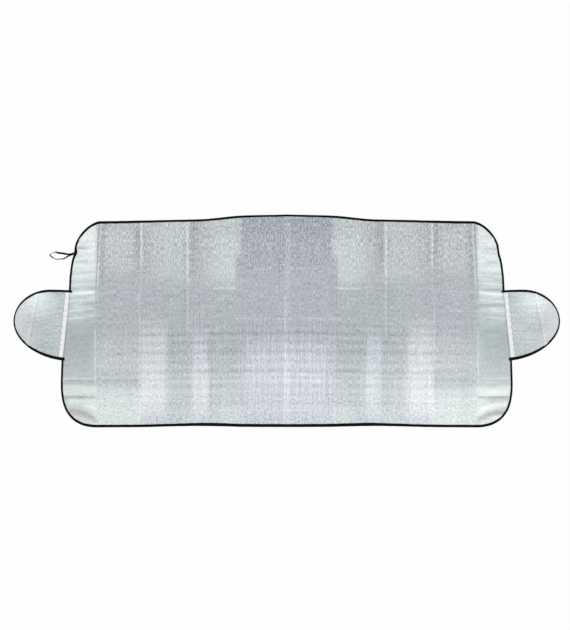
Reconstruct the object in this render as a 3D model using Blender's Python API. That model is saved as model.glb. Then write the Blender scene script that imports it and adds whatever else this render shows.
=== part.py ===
"""Windshield frost cover: a foil-faced foam sheet with bound edges, two bound side flaps and an elastic loop.

The cover lies face up as it comes to rest. +X runs along the windshield, +Y towards the roof and +Z up.
The origin is on the floor, under the middle of the cover. Sizes are in metres.
Left and right are as seen from above with +Y away from the viewer, so left is -X.
"""

import math

import bmesh
import bpy
import numpy as np
from mathutils.geometry import delaunay_2d_cdt

# Stock: laminated sheet, folded binding tape, and the air between pieces that touch
PANEL_THICKNESS = 0.0025
FLAP_THICKNESS = 0.0015
TAPE_THICKNESS = 0.0005
CLEARANCE = 0.0003

# Main panel, to the outer edge of its binding
HALF_WIDTH = 0.750
HALF_HEIGHT = 0.3532
TOP_SLOPE = 0.0186
CROWN_RISE = 0.0106
CROWN_INNER_X = 0.135
CROWN_OUTER_X = 0.300
BOTTOM_BOW = 0.0014
BOTTOM_ARCH = 0.0038
ARCH_CENTRE_X = 0.305
ARCH_HALF_SPAN = 0.205
UPPER_CORNER_REACH = 0.0856
UPPER_CORNER_POWER = 1.6
LOWER_CORNER_REACH = 0.130
LOWER_CORNER_Y = -0.204
LOWER_CORNER_POWER = 2.6

# Side line of the panel: how far it is set in from HALF_WIDTH, from the lower corner up to the shoulder
FLAP_ROOT_LOW_Y = -0.127
FLAP_ROOT_LOW_SETBACK = 0.0025
FLAP_ROOT_TOP_Y = 0.098
FLAP_ROOT_TOP_SETBACK = 0.0265
UPPER_SIDE_Y = 0.157
UPPER_SIDE_SETBACK = 0.0302
NOTCH_START_Y = 0.207
NOTCH_START_SETBACK = 0.0385
LOOP_Y = 0.2225
LOOP_SETBACK = 0.0430
SHOULDER_Y = 0.240
SHOULDER_SETBACK = 0.0454

# Binding tape: how far each leg covers the sheet
TOP_LEG = 0.0066
BOTTOM_LEG = 0.0082
SIDE_LEG = 0.0048
FLAP_LEG = 0.0060
FLAP_TIP_LEG = 0.0042

# Packing folds of the panel: ridges stand up as low tents, the folds between them lie on the floor
INNER_FOLDS = (0.0, 0.161, 0.330, 0.486)
END_STRIP_WIDTH = 0.116
CENTRE_RIDGE = 0.0045
MIDDLE_RIDGE = 0.0055
END_RIDGE = 0.0045
RIDGE_REACH = 0.125
END_RIDGE_REACH = 0.056
FOLD_DEPTH = 0.0008
FOLD_HALF_WIDTH = 0.004

# Cross wrinkles in the soft strip outside the last fold: between two groups they keep a faint share
# of their height, and the phase, in radians, places the groups along the side
WRINKLE_HEIGHT = 0.0014
WRINKLE_PITCH = 0.045
WRINKLE_GROUP = 0.330
WRINKLE_FAINT_SHARE = 0.2
WRINKLE_GROUP_PHASE = 0.6

# Side flap, to the outer edge of its binding
FLAP_REACH = 0.1573
FLAP_TIP_Y = -0.002
FLAP_TOP_Y = 0.1043
FLAP_TOP_DROP = 0.0028
FLAP_CREST_OFFSET = 0.035
FLAP_UPPER_POWER = 2.0
FLAP_LOW_Y = -0.133
FLAP_LOW_OFFSET = -0.035
FLAP_LOWER_POWER = 1.93
FLAP_TAIL = 0.0075

# How the flap lies: level where it laps over the panel, then down to the floor, with one slanted fold
# whose ends are given outboard of HALF_WIDTH
FLAP_LEVEL_RUN = 0.028
FLAP_FALL_RUN = 0.060
FLAP_FOLD_TOP = (0.0787, 0.0817)
FLAP_FOLD_LOW = (0.1068, -0.0643)
FLAP_FOLD_RIDGE = 0.0022
FLAP_FOLD_REACH = 0.026

# Joining tape sewn over the flap's raw edge
SEAM_WIDTH = 0.0140
SEAM_HEIGHT = 0.0017
SEAM_LIP = 0.0009
SEAM_OVERLAP = 0.0045
SEAM_EDGE = 0.0005
PUCKER_PITCH = 0.019
PUCKER_FLAT = 0.45
PUCKER_NARROW = 0.12

# The joining tape's section, as shares of its width and height: its crest, then a shoulder outboard of it
SEAM_CREST = 0.28
SEAM_SHOULDER = 0.65
SEAM_SHOULDER_RISE = 0.85

# Elastic loop on the left side: its route starts and ends at the binding, and lies on the floor
LOOP_DIAMETER = 0.0030
LOOP_POINT_SPACING = 0.0075
LOOP_ROUTE = (  # outboard of the panel's edge, and above the height at which the loop is sewn in
    (0.0000, 0.0017),
    (0.0090, 0.0018),
    (0.0200, 0.0021),
    (0.0330, 0.0022),
    (0.0480, 0.0038),
    (0.0575, 0.0073),
    (0.0680, 0.0078),
    (0.0760, 0.0040),
    (0.0792, -0.0024),
    (0.0758, -0.0086),
    (0.0670, -0.0126),
    (0.0575, -0.0170),
    (0.0440, -0.0178),
    (0.0310, -0.0155),
    (0.0195, -0.0068),
    (0.0110, -0.0024),
    (0.0000, -0.0017),
)

# Mesh density: the flap's columns are counted in steps of FLAP_STEP from its fold, outboard positive,
# and its rows from the fold's top, downwards positive
EDGE_STEP = 0.040
SIDE_STEP = 0.037
CORNER_STEPS = 9
FLAP_LOWER_STEPS = 12
FLAP_ROOT_STEPS = 7
RING_INSET = 0.012
EDGE_BLEND = 0.036
FLAP_RING_INSET = 0.008
PANEL_COLUMN_STEPS = 4
ROW_STEP = 0.044
STRIP_ROW_STEP = 0.015
STRIP_COLUMN_STEP = 0.022
FLAP_STEP = 0.026
FLAP_COLUMNS = (-4, -3, -2, -1, -0.5, 0, 0.5, 1, 1.8)
FLAP_ROWS = (-2, -1, 0, 1, 2, 3, 4, 5, 6, 7, 8)
POINT_MARGIN = 0.007

# Where the corners start along the top and bottom edges, and all packing folds of one half
UPPER_CORNER_X = HALF_WIDTH - SHOULDER_SETBACK - UPPER_CORNER_REACH
LOWER_CORNER_X = HALF_WIDTH - LOWER_CORNER_REACH
FOLD_LINES = (*INNER_FOLDS, HALF_WIDTH - END_STRIP_WIDTH)

# Height of a bound edge: the tape's own section, and where the sheet lies in it
SHEET_RISE = TAPE_THICKNESS + CLEARANCE
BOUND_HEIGHT = 2 * SHEET_RISE + PANEL_THICKNESS
FLAP_ROOT_LIFT = BOUND_HEIGHT + CLEARANCE


def smooth_step(t):
    """0 below 0, 1 above 1, and a smooth rise between them."""
    t = np.clip(t, 0.0, 1.0)
    return t * t * (3 - 2 * t)


def smooth_through(knots, at):
    """Value at a position of the smooth curve through (position, value) knots."""
    position, value = np.array(knots).T
    slope = np.gradient(value, position)
    k = np.clip(np.searchsorted(position, at) - 1, 0, len(position) - 2)
    span = position[k + 1] - position[k]
    t = (at - position[k]) / span
    start = (1 + 2 * t) * (1 - t) ** 2 * value[k] + t * (1 - t) ** 2 * span * slope[k]
    end = t**2 * (3 - 2 * t) * value[k + 1] + t**2 * (t - 1) * span * slope[k + 1]
    return start + end


def spaced(marks, step):
    """Positions through every mark, with equal steps no longer than step between two marks."""
    positions = [np.array([marks[0]])]
    for start, end in zip(marks[:-1], marks[1:]):
        count = max(1, math.ceil(abs(end - start) / step - 1e-6))
        positions.append(np.linspace(start, end, count + 1)[1:])
    return np.concatenate(positions)


def rounded_corner(level_end, upright_end, power, steps):
    """Points of a quarter superellipse from its level end to its upright end, both included."""
    turn = np.linspace(0.0, math.pi / 2, steps + 1)
    reach = upright_end[0] - level_end[0]
    rise = level_end[1] - upright_end[1]
    x = level_end[0] + reach * np.sin(turn) ** (2 / power)
    y = upright_end[1] + rise * np.cos(turn) ** (2 / power)
    return np.stack([x, y], axis=1)


def normals_of(points, closed):
    """Outward unit normals of a path that runs anticlockwise."""
    if closed:
        along = np.roll(points, -1, axis=0) - np.roll(points, 1, axis=0)
    else:
        along = np.gradient(points, axis=0)
    outward = np.stack([along[:, 1], -along[:, 0]], axis=1)
    return outward / np.linalg.norm(outward, axis=1)[:, None]


def distance_to_loop(points, loop):
    """Shortest distance from each point to a closed loop of straight edges."""
    start, edge = loop, np.roll(loop, -1, axis=0) - loop
    offset = points[:, None] - start[None]
    share = np.clip((offset * edge).sum(2) / (edge**2).sum(1), 0.0, 1.0)
    return np.linalg.norm(offset - share[..., None] * edge, axis=2).min(axis=1)


def inside_loop(points, loop):
    """Whether each point is inside a closed loop, by counting the edges to its right."""
    following = np.roll(loop, -1, axis=0)
    x, y = points[:, 0, None], points[:, 1, None]
    spans = (loop[:, 1] > y) != (following[:, 1] > y)
    rise = np.where(following[:, 1] == loop[:, 1], 1.0, following[:, 1] - loop[:, 1])
    crossing = loop[:, 0] + (y - loop[:, 1]) / rise * (following[:, 0] - loop[:, 0])
    return (spans & (x < crossing)).sum(axis=1) % 2 == 1


def keep_inside(points, loop):
    """The points that lie inside a loop and clear of it."""
    points = points[inside_loop(points, loop)]
    return points[distance_to_loop(points, loop) > POINT_MARGIN]


def mirrored(points, side):
    """Plan points for the right side (+1), or mirrored for the left side (-1)."""
    return points * np.array([side, 1.0])


# Outlines


def top_edge(x):
    """Height of the top edge: a slight slope up to the middle, with a soft step at the crown."""
    corner_y = HALF_HEIGHT - CROWN_RISE - TOP_SLOPE * UPPER_CORNER_X
    crown = smooth_step((CROWN_OUTER_X - x) / (CROWN_OUTER_X - CROWN_INNER_X))
    return corner_y + TOP_SLOPE * (UPPER_CORNER_X - x) + CROWN_RISE * crown


def bottom_edge(x):
    """Height of the bottom edge: slightly bowed, with one shallow arch in each half."""
    bow = BOTTOM_BOW * (1 - (x / LOWER_CORNER_X) ** 2)
    reach = np.clip((x - ARCH_CENTRE_X) / ARCH_HALF_SPAN, -1, 1)
    return -HALF_HEIGHT + bow + BOTTOM_ARCH * np.cos(reach * math.pi / 2) ** 2


def side_edge(y):
    """Half width of the panel at a height on its side."""
    setbacks = (
        (LOWER_CORNER_Y, 0.0),
        (FLAP_ROOT_LOW_Y, FLAP_ROOT_LOW_SETBACK),
        (FLAP_ROOT_TOP_Y, FLAP_ROOT_TOP_SETBACK),
        (UPPER_SIDE_Y, UPPER_SIDE_SETBACK),
        (NOTCH_START_Y, NOTCH_START_SETBACK),
        (LOOP_Y, LOOP_SETBACK),
        (SHOULDER_Y, SHOULDER_SETBACK),
    )
    return HALF_WIDTH - smooth_through(setbacks, y)


def panel_outline():
    """The panel's outer edge as an anticlockwise loop of plan points that starts at the bottom middle."""
    inner_folds = [fold for fold in FOLD_LINES if fold < min(LOWER_CORNER_X, UPPER_CORNER_X)]
    along = spaced([*inner_folds, LOWER_CORNER_X], EDGE_STEP)
    bottom = np.stack([along, bottom_edge(along)], axis=1)
    lower_corner = rounded_corner(
        (LOWER_CORNER_X, -HALF_HEIGHT), (HALF_WIDTH, LOWER_CORNER_Y), LOWER_CORNER_POWER, CORNER_STEPS
    )
    heights = spaced(
        [LOWER_CORNER_Y, FLAP_ROOT_LOW_Y, FLAP_ROOT_TOP_Y, NOTCH_START_Y, LOOP_Y, SHOULDER_Y], SIDE_STEP
    )
    side = np.stack([side_edge(heights), heights], axis=1)
    shoulder_x = HALF_WIDTH - SHOULDER_SETBACK
    upper_corner = rounded_corner(
        (UPPER_CORNER_X, top_edge(UPPER_CORNER_X)), (shoulder_x, SHOULDER_Y), UPPER_CORNER_POWER, CORNER_STEPS
    )[::-1]
    along = spaced([*inner_folds, UPPER_CORNER_X], EDGE_STEP)[::-1]
    top = np.stack([along, top_edge(along)], axis=1)
    right = np.concatenate([bottom, lower_corner[1:-1], side, upper_corner[1:], top[1:]])
    return np.concatenate([right, mirrored(right[1:-1], -1)[::-1]])


def root_line(y):
    """Inboard edge of the right flap's joining tape, which runs straight along the flap's root."""
    top_x = HALF_WIDTH - FLAP_ROOT_TOP_SETBACK - SEAM_OVERLAP
    low_x = HALF_WIDTH - FLAP_ROOT_LOW_SETBACK - SEAM_OVERLAP
    share = (FLAP_ROOT_TOP_Y - y) / (FLAP_ROOT_TOP_Y - FLAP_ROOT_LOW_Y)
    return top_x + share * (low_x - top_x)


def root_direction():
    """Unit vectors along the root line, downwards, and across it, outboard."""
    drift = root_line(FLAP_ROOT_LOW_Y) - root_line(FLAP_ROOT_TOP_Y)
    run = np.array([drift, FLAP_ROOT_LOW_Y - FLAP_ROOT_TOP_Y])
    down = run / np.linalg.norm(run)
    return down, np.array([-down[1], down[0]])


def flap_edge_x():
    """Where the flap's sheet starts: the ends of its raw edge at the upper and at the lower binding."""
    _, across = root_direction()
    inset = (SEAM_LIP + CLEARANCE) / across[0]
    return root_line(FLAP_TOP_Y - FLAP_TOP_DROP) + inset, root_line(FLAP_LOW_Y) + inset


def flap_outline():
    """The right flap's free edge, anticlockwise from its lower tail round the tip to its upper tail."""
    upper_x, lower_x = flap_edge_x()
    tip = (HALF_WIDTH + FLAP_REACH, FLAP_TIP_Y)
    low_end = (HALF_WIDTH + FLAP_LOW_OFFSET, FLAP_LOW_Y)
    crest = (HALF_WIDTH + FLAP_CREST_OFFSET, FLAP_TOP_Y)
    starts = np.array([lower_x - FLAP_TAIL, lower_x, lower_x + FLAP_LEVEL_RUN])
    share = (starts - low_end[0]) / (tip[0] - low_end[0])
    depth = (1 - share**FLAP_LOWER_POWER) ** (1 / FLAP_LOWER_POWER)
    lower_start = np.stack([starts, tip[1] + (low_end[1] - tip[1]) * depth], axis=1)
    lower = rounded_corner(low_end, tip, FLAP_LOWER_POWER, FLAP_LOWER_STEPS)
    lower = lower[lower[:, 0] > starts[-1] + POINT_MARGIN]
    upper = rounded_corner(crest, tip, FLAP_UPPER_POWER, CORNER_STEPS)[::-1]
    level = spaced([crest[0], upper_x + FLAP_LEVEL_RUN, upper_x, upper_x - FLAP_TAIL], EDGE_STEP)[1:]
    share = (crest[0] - level) / (crest[0] - level[-1])
    top = np.stack([level, crest[1] - FLAP_TOP_DROP * share**2], axis=1)
    return np.concatenate([lower_start, lower, upper[1:], top])


# How the sheets lie


def fold_lift(x):
    """Height over the floor of the panel's underside, where its packing folds stand up."""
    x = np.abs(x)
    centre, _, middle, _, end = FOLD_LINES
    lift = CENTRE_RIDGE * np.clip(1 - (x - centre) / RIDGE_REACH, 0, 1)
    lift = lift + MIDDLE_RIDGE * np.clip(1 - np.abs(x - middle) / RIDGE_REACH, 0, 1)
    return lift + END_RIDGE * np.clip(1 - np.abs(x - end) / END_RIDGE_REACH, 0, 1)


def wrinkle_lift(points):
    """Height of the cross wrinkles, which come in groups along the strip outside the last fold."""
    x, y = np.abs(points[:, 0]), points[:, 1]
    strip = np.clip((x - FOLD_LINES[-1]) / (side_edge(y) - FOLD_LINES[-1]), 0, 1)
    wave = (0.5 + 0.5 * np.cos(2 * math.pi * y / WRINKLE_PITCH)) ** 2
    swell = 0.5 + 0.5 * np.cos(2 * math.pi * y / WRINKLE_GROUP - WRINKLE_GROUP_PHASE)
    group = WRINKLE_FAINT_SHARE + (1 - WRINKLE_FAINT_SHARE) * swell
    return WRINKLE_HEIGHT * wave * group * np.sin(math.pi * strip) ** 2


def flap_lift(points):
    """Height over the floor of the right flap's binding: level over the panel's edge, then falling to 0."""
    _, across = root_direction()
    upper_x, _ = flap_edge_x()
    corner = np.array([upper_x, FLAP_TOP_Y - FLAP_TOP_DROP])
    outboard = (points - corner) @ across
    return FLAP_ROOT_LIFT * (1 - smooth_step((outboard - FLAP_LEVEL_RUN) / FLAP_FALL_RUN))


def flap_fold_frame():
    """Start of the flap's slanted fold, with unit vectors along it and across it."""
    start = np.array(FLAP_FOLD_TOP) + (HALF_WIDTH, 0.0)
    run = np.array(FLAP_FOLD_LOW) - np.array(FLAP_FOLD_TOP)
    along = run / np.linalg.norm(run)
    return start, along, np.array([-along[1], along[0]])


# Solids


def material(name, colour, roughness, metallic=0.0):
    """A Principled BSDF in one colour."""
    made = bpy.data.materials.new(name)
    made.use_nodes = True
    made.diffuse_color = (*colour, 1.0)
    shader = made.node_tree.nodes["Principled BSDF"]
    shader.inputs["Base Color"].default_value = (*colour, 1.0)
    shader.inputs["Roughness"].default_value = roughness
    shader.inputs["Metallic"].default_value = metallic
    return made


def add_mesh(name, vertices, faces, finish, sharp_angle=math.radians(35)):
    """Link a closed mesh as an object, with its faces pointing outwards."""
    mesh = bpy.data.meshes.new(name)
    mesh.from_pydata([tuple(v) for v in vertices], [], [tuple(int(i) for i in f) for f in faces])
    work = bmesh.new()
    work.from_mesh(mesh)
    bmesh.ops.recalc_face_normals(work, faces=work.faces)
    work.to_mesh(mesh)
    work.free()
    mesh.shade_smooth()
    mesh.set_sharp_from_angle(angle=sharp_angle)
    mesh.materials.append(finish)
    made = bpy.data.objects.new(name, mesh)
    bpy.context.collection.objects.link(made)
    return made


def add_sheet(name, rim, ring, rim_height, inner, inner_bottom, inner_top, thickness, finish):
    """A sheet with a level margin between its cut edge (rim) and ring, and lifted points inside the ring."""
    count = len(rim)
    plan = np.concatenate([ring, inner])
    hem = [(i, (i + 1) % count) for i in range(count)]
    corners, _, triangles, origins, _, _ = delaunay_2d_cdt(
        [tuple(p) for p in plan], hem, [], 1, 1e-7
    )
    source = [group[0] for group in origins]
    flat = np.concatenate([rim, plan])
    bottom = np.concatenate([rim_height, rim_height, inner_bottom])
    top = np.concatenate([rim_height + thickness, rim_height + thickness, inner_top])
    vertices = np.concatenate(
        [np.column_stack([flat, bottom]), np.column_stack([flat, top])]
    )
    upper = len(flat)
    faces = []
    for i, j in hem:
        faces.append((i, j, upper + j, upper + i))
        faces.append((j, i, count + i, count + j))
        faces.append((upper + i, upper + j, upper + count + j, upper + count + i))
    for triangle in triangles:
        a, b, c = (count + source[k] for k in triangle)
        faces.append((c, b, a))
        faces.append((upper + a, upper + b, upper + c))
    return add_mesh(name, vertices, faces, finish)


def sweep(name, rings, closed, finish):
    """Join equal rings of points into one solid, as a closed band or with a cap on each end."""
    stations, size, _ = rings.shape
    vertices = rings.reshape(-1, 3)
    faces = []
    for i in range(stations if closed else stations - 1):
        here, following = i * size, (i + 1) % stations * size
        for k in range(size):
            m = (k + 1) % size
            faces.append((here + k, here + m, following + m, following + k))
    if not closed:
        faces.append(tuple(range(size)))
        faces.append(tuple(range((stations - 1) * size, stations * size)))
    return add_mesh(name, vertices, faces, finish)


def tape_rings(points, normals, base, leg, slot):
    """Sections of a tape folded over an edge: base is its lowest height, slot the gap between its legs."""
    thick = TAPE_THICKNESS
    height = slot + 2 * thick
    zero = np.zeros_like(leg)
    inset = [leg, zero + thick, zero, zero, zero + thick, leg, leg, zero + thick, zero + thick, leg]
    rise = [
        zero, zero, zero + thick, height - thick, height,
        height, height - thick, height - thick, zero + thick, zero + thick,
    ]
    inset, rise = np.stack(inset, axis=1), np.stack(rise, axis=1)
    plan = points[:, None] - normals[:, None] * inset[..., None]
    return np.concatenate([plan, (base[:, None] + rise)[..., None]], axis=2)


def panel_points(ring):
    """Plan points inside the panel: columns at and between the folds, and close rows in the end strips."""
    half = FOLD_HALF_WIDTH
    columns = [0.0, half]
    for inner, outer in zip(FOLD_LINES[:-1], FOLD_LINES[1:]):
        columns += list(np.linspace(inner + half, outer - half, PANEL_COLUMN_STEPS + 1)[1:])
        columns += [outer, outer + half]
    columns = np.array(columns)
    rows = np.linspace(-HALF_HEIGHT, HALF_HEIGHT, round(2 * HALF_HEIGHT / ROW_STEP) + 1)
    body = np.stack(np.meshgrid(columns, rows), axis=2).reshape(-1, 2)
    strip_columns = np.arange(FOLD_LINES[-1] + half + STRIP_COLUMN_STEP, HALF_WIDTH, STRIP_COLUMN_STEP)
    strip_rows = np.linspace(-HALF_HEIGHT, HALF_HEIGHT, round(2 * HALF_HEIGHT / STRIP_ROW_STEP) + 1)
    strip = np.stack(np.meshgrid(strip_columns, strip_rows), axis=2).reshape(-1, 2)
    right = np.concatenate([body, strip])
    left = mirrored(right[right[:, 0] > 0], -1)
    return keep_inside(np.concatenate([right, left]), ring)


def add_panel(outline, normals, finish):
    """The laminated sheet of the main panel."""
    rim = outline - normals * SHEET_RISE
    ring = outline - normals * RING_INSET
    inner = panel_points(ring)
    edge_share = smooth_step(1 - distance_to_loop(inner, ring) / EDGE_BLEND)
    bottom = fold_lift(inner[:, 0]) + SHEET_RISE * edge_share + wrinkle_lift(inner)
    nearest_fold = np.abs(np.abs(inner[:, 0, None]) - np.array(FOLD_LINES)).min(axis=1)
    groove = FOLD_DEPTH * np.clip(1 - nearest_fold / FOLD_HALF_WIDTH, 0, 1)
    rim_height = SHEET_RISE + fold_lift(outline[:, 0])
    return add_sheet(
        "cover_panel", rim, ring, rim_height, inner, bottom,
        bottom + PANEL_THICKNESS - groove, PANEL_THICKNESS, finish,
    )


def add_panel_binding(outline, normals, finish):
    """The tape folded over the whole edge of the panel: widest along the bottom, narrow on the sides."""
    level = normals[:, 1] ** 2
    flat_leg = np.where(normals[:, 1] > 0, TOP_LEG, BOTTOM_LEG)
    leg = SIDE_LEG + (flat_leg - SIDE_LEG) * level
    slot = np.full(len(outline), PANEL_THICKNESS + 2 * CLEARANCE)
    rings = tape_rings(outline, normals, fold_lift(outline[:, 0]), leg, slot)
    return sweep("panel_binding", rings, True, finish)


def add_flap(side, label, finish):
    """One flap's sheet, from its raw edge under the joining tape to its bound free edge."""
    outline = flap_outline()
    normals = normals_of(outline, False)
    free, free_normals = outline[1:-1], normals[1:-1]
    rim = free - free_normals * SHEET_RISE
    ring = free - free_normals * FLAP_RING_INSET
    _, across = root_direction()
    margin = across * (SEAM_WIDTH + SEAM_LIP)
    ring[0] += margin
    ring[-1] += margin
    share = np.linspace(0, 1, FLAP_ROOT_STEPS + 1)[1:-1, None]
    rim = np.concatenate([rim, rim[-1] + (rim[0] - rim[-1]) * share])
    ring = np.concatenate([ring, ring[-1] + (ring[0] - ring[-1]) * share])
    start, along, fold_across = flap_fold_frame()
    grid = FLAP_STEP * np.stack(np.meshgrid(FLAP_COLUMNS, FLAP_ROWS), axis=2).reshape(-1, 2)
    inner = keep_inside(start + grid[:, :1] * fold_across + grid[:, 1:] * along, ring)
    away = np.abs((inner - start) @ fold_across)
    middle = smooth_step(distance_to_loop(inner, ring) / FLAP_FOLD_REACH)
    fold = FLAP_FOLD_RIDGE * np.clip(1 - away / FLAP_FOLD_REACH, 0, 1) * middle
    bottom = flap_lift(inner) + SHEET_RISE * (1 - middle) + fold
    return add_sheet(
        f"{label}_flap", mirrored(rim, side), mirrored(ring, side), SHEET_RISE + flap_lift(rim),
        mirrored(inner, side), bottom, bottom + FLAP_THICKNESS, FLAP_THICKNESS, finish,
    )


def add_flap_binding(side, label, finish):
    """The tape round one flap's free edge, with a pressed tail past the root at both ends."""
    outline = flap_outline()
    normals = normals_of(outline, False)
    tip_share = np.clip(normals[:, 0], 0, 1) ** 2
    leg = FLAP_LEG + (FLAP_TIP_LEG - FLAP_LEG) * tip_share
    slot = np.full(len(outline), FLAP_THICKNESS + 2 * CLEARANCE)
    slot[[0, -1]] = CLEARANCE
    rings = tape_rings(outline, normals, flap_lift(outline), leg, slot)
    rings[..., 0] *= side
    return sweep(f"{label}_flap_binding", rings, False, finish)


def seam_ends():
    """Heights on the root line between which the joining tape fits, clear of the flap's binding."""
    outline = flap_outline()
    inner = outline - normals_of(outline, False) * (FLAP_LEG + CLEARANCE)
    lower, upper = inner[:4], inner[:-5:-1]
    _, across = root_direction()
    reach = SEAM_WIDTH * across
    ends = []
    for edge, y, pick in ((lower, FLAP_LOW_Y, max), (upper, FLAP_TOP_Y, min)):
        x = root_line(y)
        inboard, outboard = np.interp([x, x + reach[0]], edge[:, 0], edge[:, 1])
        ends.append(pick(inboard, outboard - reach[1]))
    return ends


def add_seam_tape(side, label, finish):
    """The joining tape over one flap's raw edge, drawn in by its stitches at every pucker."""
    down, across = root_direction()
    lower_end, upper_end = seam_ends()
    start = np.array([root_line(upper_end), upper_end])
    run = (upper_end - lower_end) / -down[1]
    puckers = round(run / PUCKER_PITCH)
    share = np.linspace(0, 1, 3 * puckers + 1)
    pinch = (np.arange(len(share)) % 3 == 0).astype(float)
    width = SEAM_WIDTH * (1 - PUCKER_NARROW * pinch)
    height = SEAM_HEIGHT * (1 - PUCKER_FLAT * pinch)
    flat = np.ones_like(share)
    sheet_top = FLAP_ROOT_LIFT + SHEET_RISE + FLAP_THICKNESS
    bed = sheet_top + CLEARANCE
    outboard = [
        0 * flat, 0 * flat, SEAM_CREST * width, SEAM_SHOULDER * width,
        width, width, SEAM_LIP * flat, SEAM_LIP * flat,
    ]
    rise = [
        FLAP_ROOT_LIFT * flat, bed + SEAM_EDGE * flat, bed + height, bed + SEAM_SHOULDER_RISE * height,
        bed + SEAM_EDGE * flat, bed * flat, bed * flat, FLAP_ROOT_LIFT * flat,
    ]
    outboard, rise = np.stack(outboard, axis=1), np.stack(rise, axis=1)
    path = start + share[:, None] * run * down
    plan = path[:, None] + outboard[..., None] * across
    rings = np.concatenate([plan, rise[..., None]], axis=2)
    rings[..., 0] *= side
    return sweep(f"{label}_flap_seam_tape", rings, False, finish)


def add_elastic_loop(finish):
    """The elastic loop on the left side, as a round cord on the floor from the binding and back to it."""
    route = np.array(LOOP_ROUTE)
    spans = np.linalg.norm(np.diff(route, axis=0), axis=1)
    at = np.concatenate([[0.0], np.cumsum(spans)])
    count = round(at[-1] / LOOP_POINT_SPACING)
    along = np.linspace(0, at[-1], count + 1)
    outboard = smooth_through(np.column_stack([at, route[:, 0]]), along)
    above = smooth_through(np.column_stack([at, route[:, 1]]), along)
    edge = side_edge(np.array([LOOP_Y]))[0] + CLEARANCE + LOOP_DIAMETER / 4
    curve = bpy.data.curves.new("elastic_loop", "CURVE")
    curve.dimensions = "3D"
    curve.bevel_depth = LOOP_DIAMETER / 2
    curve.bevel_resolution = 2
    curve.use_fill_caps = True
    spline = curve.splines.new("POLY")
    spline.points.add(count)
    for point, out, up in zip(spline.points, outboard, above):
        point.co = (-(edge + out), LOOP_Y + up, LOOP_DIAMETER / 2, 1.0)
    curve.materials.append(finish)
    made = bpy.data.objects.new("elastic_loop", curve)
    bpy.context.collection.objects.link(made)
    return made


def main():
    """Clear the scene and build every piece of the cover."""
    for old in list(bpy.data.objects):
        bpy.data.objects.remove(old, do_unlink=True)
    foil = material("silver_foil", (0.62, 0.64, 0.66), 0.42, 0.55)
    binding = material("black_binding", (0.012, 0.012, 0.016), 0.75)
    joining = material("white_tape", (0.88, 0.88, 0.90), 0.8)
    elastic = material("black_elastic", (0.015, 0.015, 0.018), 0.8)
    outline = panel_outline()
    normals = normals_of(outline, True)
    add_panel(outline, normals, foil)
    add_panel_binding(outline, normals, binding)
    for side, label in ((-1, "left"), (1, "right")):
        add_flap(side, label, foil)
        add_flap_binding(side, label, binding)
        add_seam_tape(side, label, joining)
    add_elastic_loop(elastic)


main()
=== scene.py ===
"""Looks of the windshield frost cover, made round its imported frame.

The cover lies face up on a pale floor. +X runs along the windshield, +Y towards the roof and +Z up, in
metres, and left is -X. Every piece is made where it lies and rides on the one body, and all but the
stitching stand for a plain solid.
"""

import logging
import math
from dataclasses import dataclass, field
from enum import Enum

import bpy
import numpy as np
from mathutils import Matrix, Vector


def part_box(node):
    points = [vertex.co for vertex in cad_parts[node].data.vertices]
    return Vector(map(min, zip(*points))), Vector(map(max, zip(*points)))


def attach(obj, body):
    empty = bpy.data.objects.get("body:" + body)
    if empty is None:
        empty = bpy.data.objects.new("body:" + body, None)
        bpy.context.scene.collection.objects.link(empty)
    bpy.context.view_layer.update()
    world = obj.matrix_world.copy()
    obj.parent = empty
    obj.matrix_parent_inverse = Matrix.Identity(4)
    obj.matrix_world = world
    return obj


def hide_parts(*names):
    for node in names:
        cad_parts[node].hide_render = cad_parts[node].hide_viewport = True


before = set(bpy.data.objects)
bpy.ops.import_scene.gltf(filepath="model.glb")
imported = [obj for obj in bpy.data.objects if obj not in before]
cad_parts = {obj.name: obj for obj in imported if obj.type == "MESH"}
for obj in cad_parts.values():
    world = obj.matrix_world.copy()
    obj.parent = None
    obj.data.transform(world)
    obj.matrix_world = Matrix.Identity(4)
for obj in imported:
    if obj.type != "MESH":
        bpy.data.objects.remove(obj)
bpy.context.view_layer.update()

Array = np.ndarray
Colour = tuple[float, float, float]
BODY = "root"
MIRROR = np.array([-1.0, 1.0])
SHARP_ANGLE = math.radians(50)
log = logging.getLogger("frost_cover")


class Side(Enum):
    """Which end of the cover a piece is on; the value is the sign of its x."""

    LEFT = -1
    RIGHT = 1

    @property
    def label(self) -> str:
        """The side's word in the names of pieces and nodes."""
        return self.name.lower()


# Shader expressions


class Wire:
    """A number on its way between shader nodes: Python's operators on it add Math nodes."""

    def __init__(self, graph: "Graph", socket: bpy.types.NodeSocket) -> None:
        """Keep the socket that gives the number, and the graph that it is in."""
        self.graph = graph
        self.socket = socket

    def __add__(self, other: "Wire | float") -> "Wire":
        """This number plus another."""
        return self.graph.math("ADD", self, other)

    def __radd__(self, other: float) -> "Wire":
        """A plain number plus this one."""
        return self.graph.math("ADD", other, self)

    def __sub__(self, other: "Wire | float") -> "Wire":
        """This number less another."""
        return self.graph.math("SUBTRACT", self, other)

    def __rsub__(self, other: float) -> "Wire":
        """A plain number less this one."""
        return self.graph.math("SUBTRACT", other, self)

    def __mul__(self, other: "Wire | float") -> "Wire":
        """This number times another."""
        return self.graph.math("MULTIPLY", self, other)

    def __rmul__(self, other: float) -> "Wire":
        """A plain number times this one."""
        return self.graph.math("MULTIPLY", other, self)

    def __truediv__(self, other: "Wire | float") -> "Wire":
        """This number divided by another."""
        return self.graph.math("DIVIDE", self, other)


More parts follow.
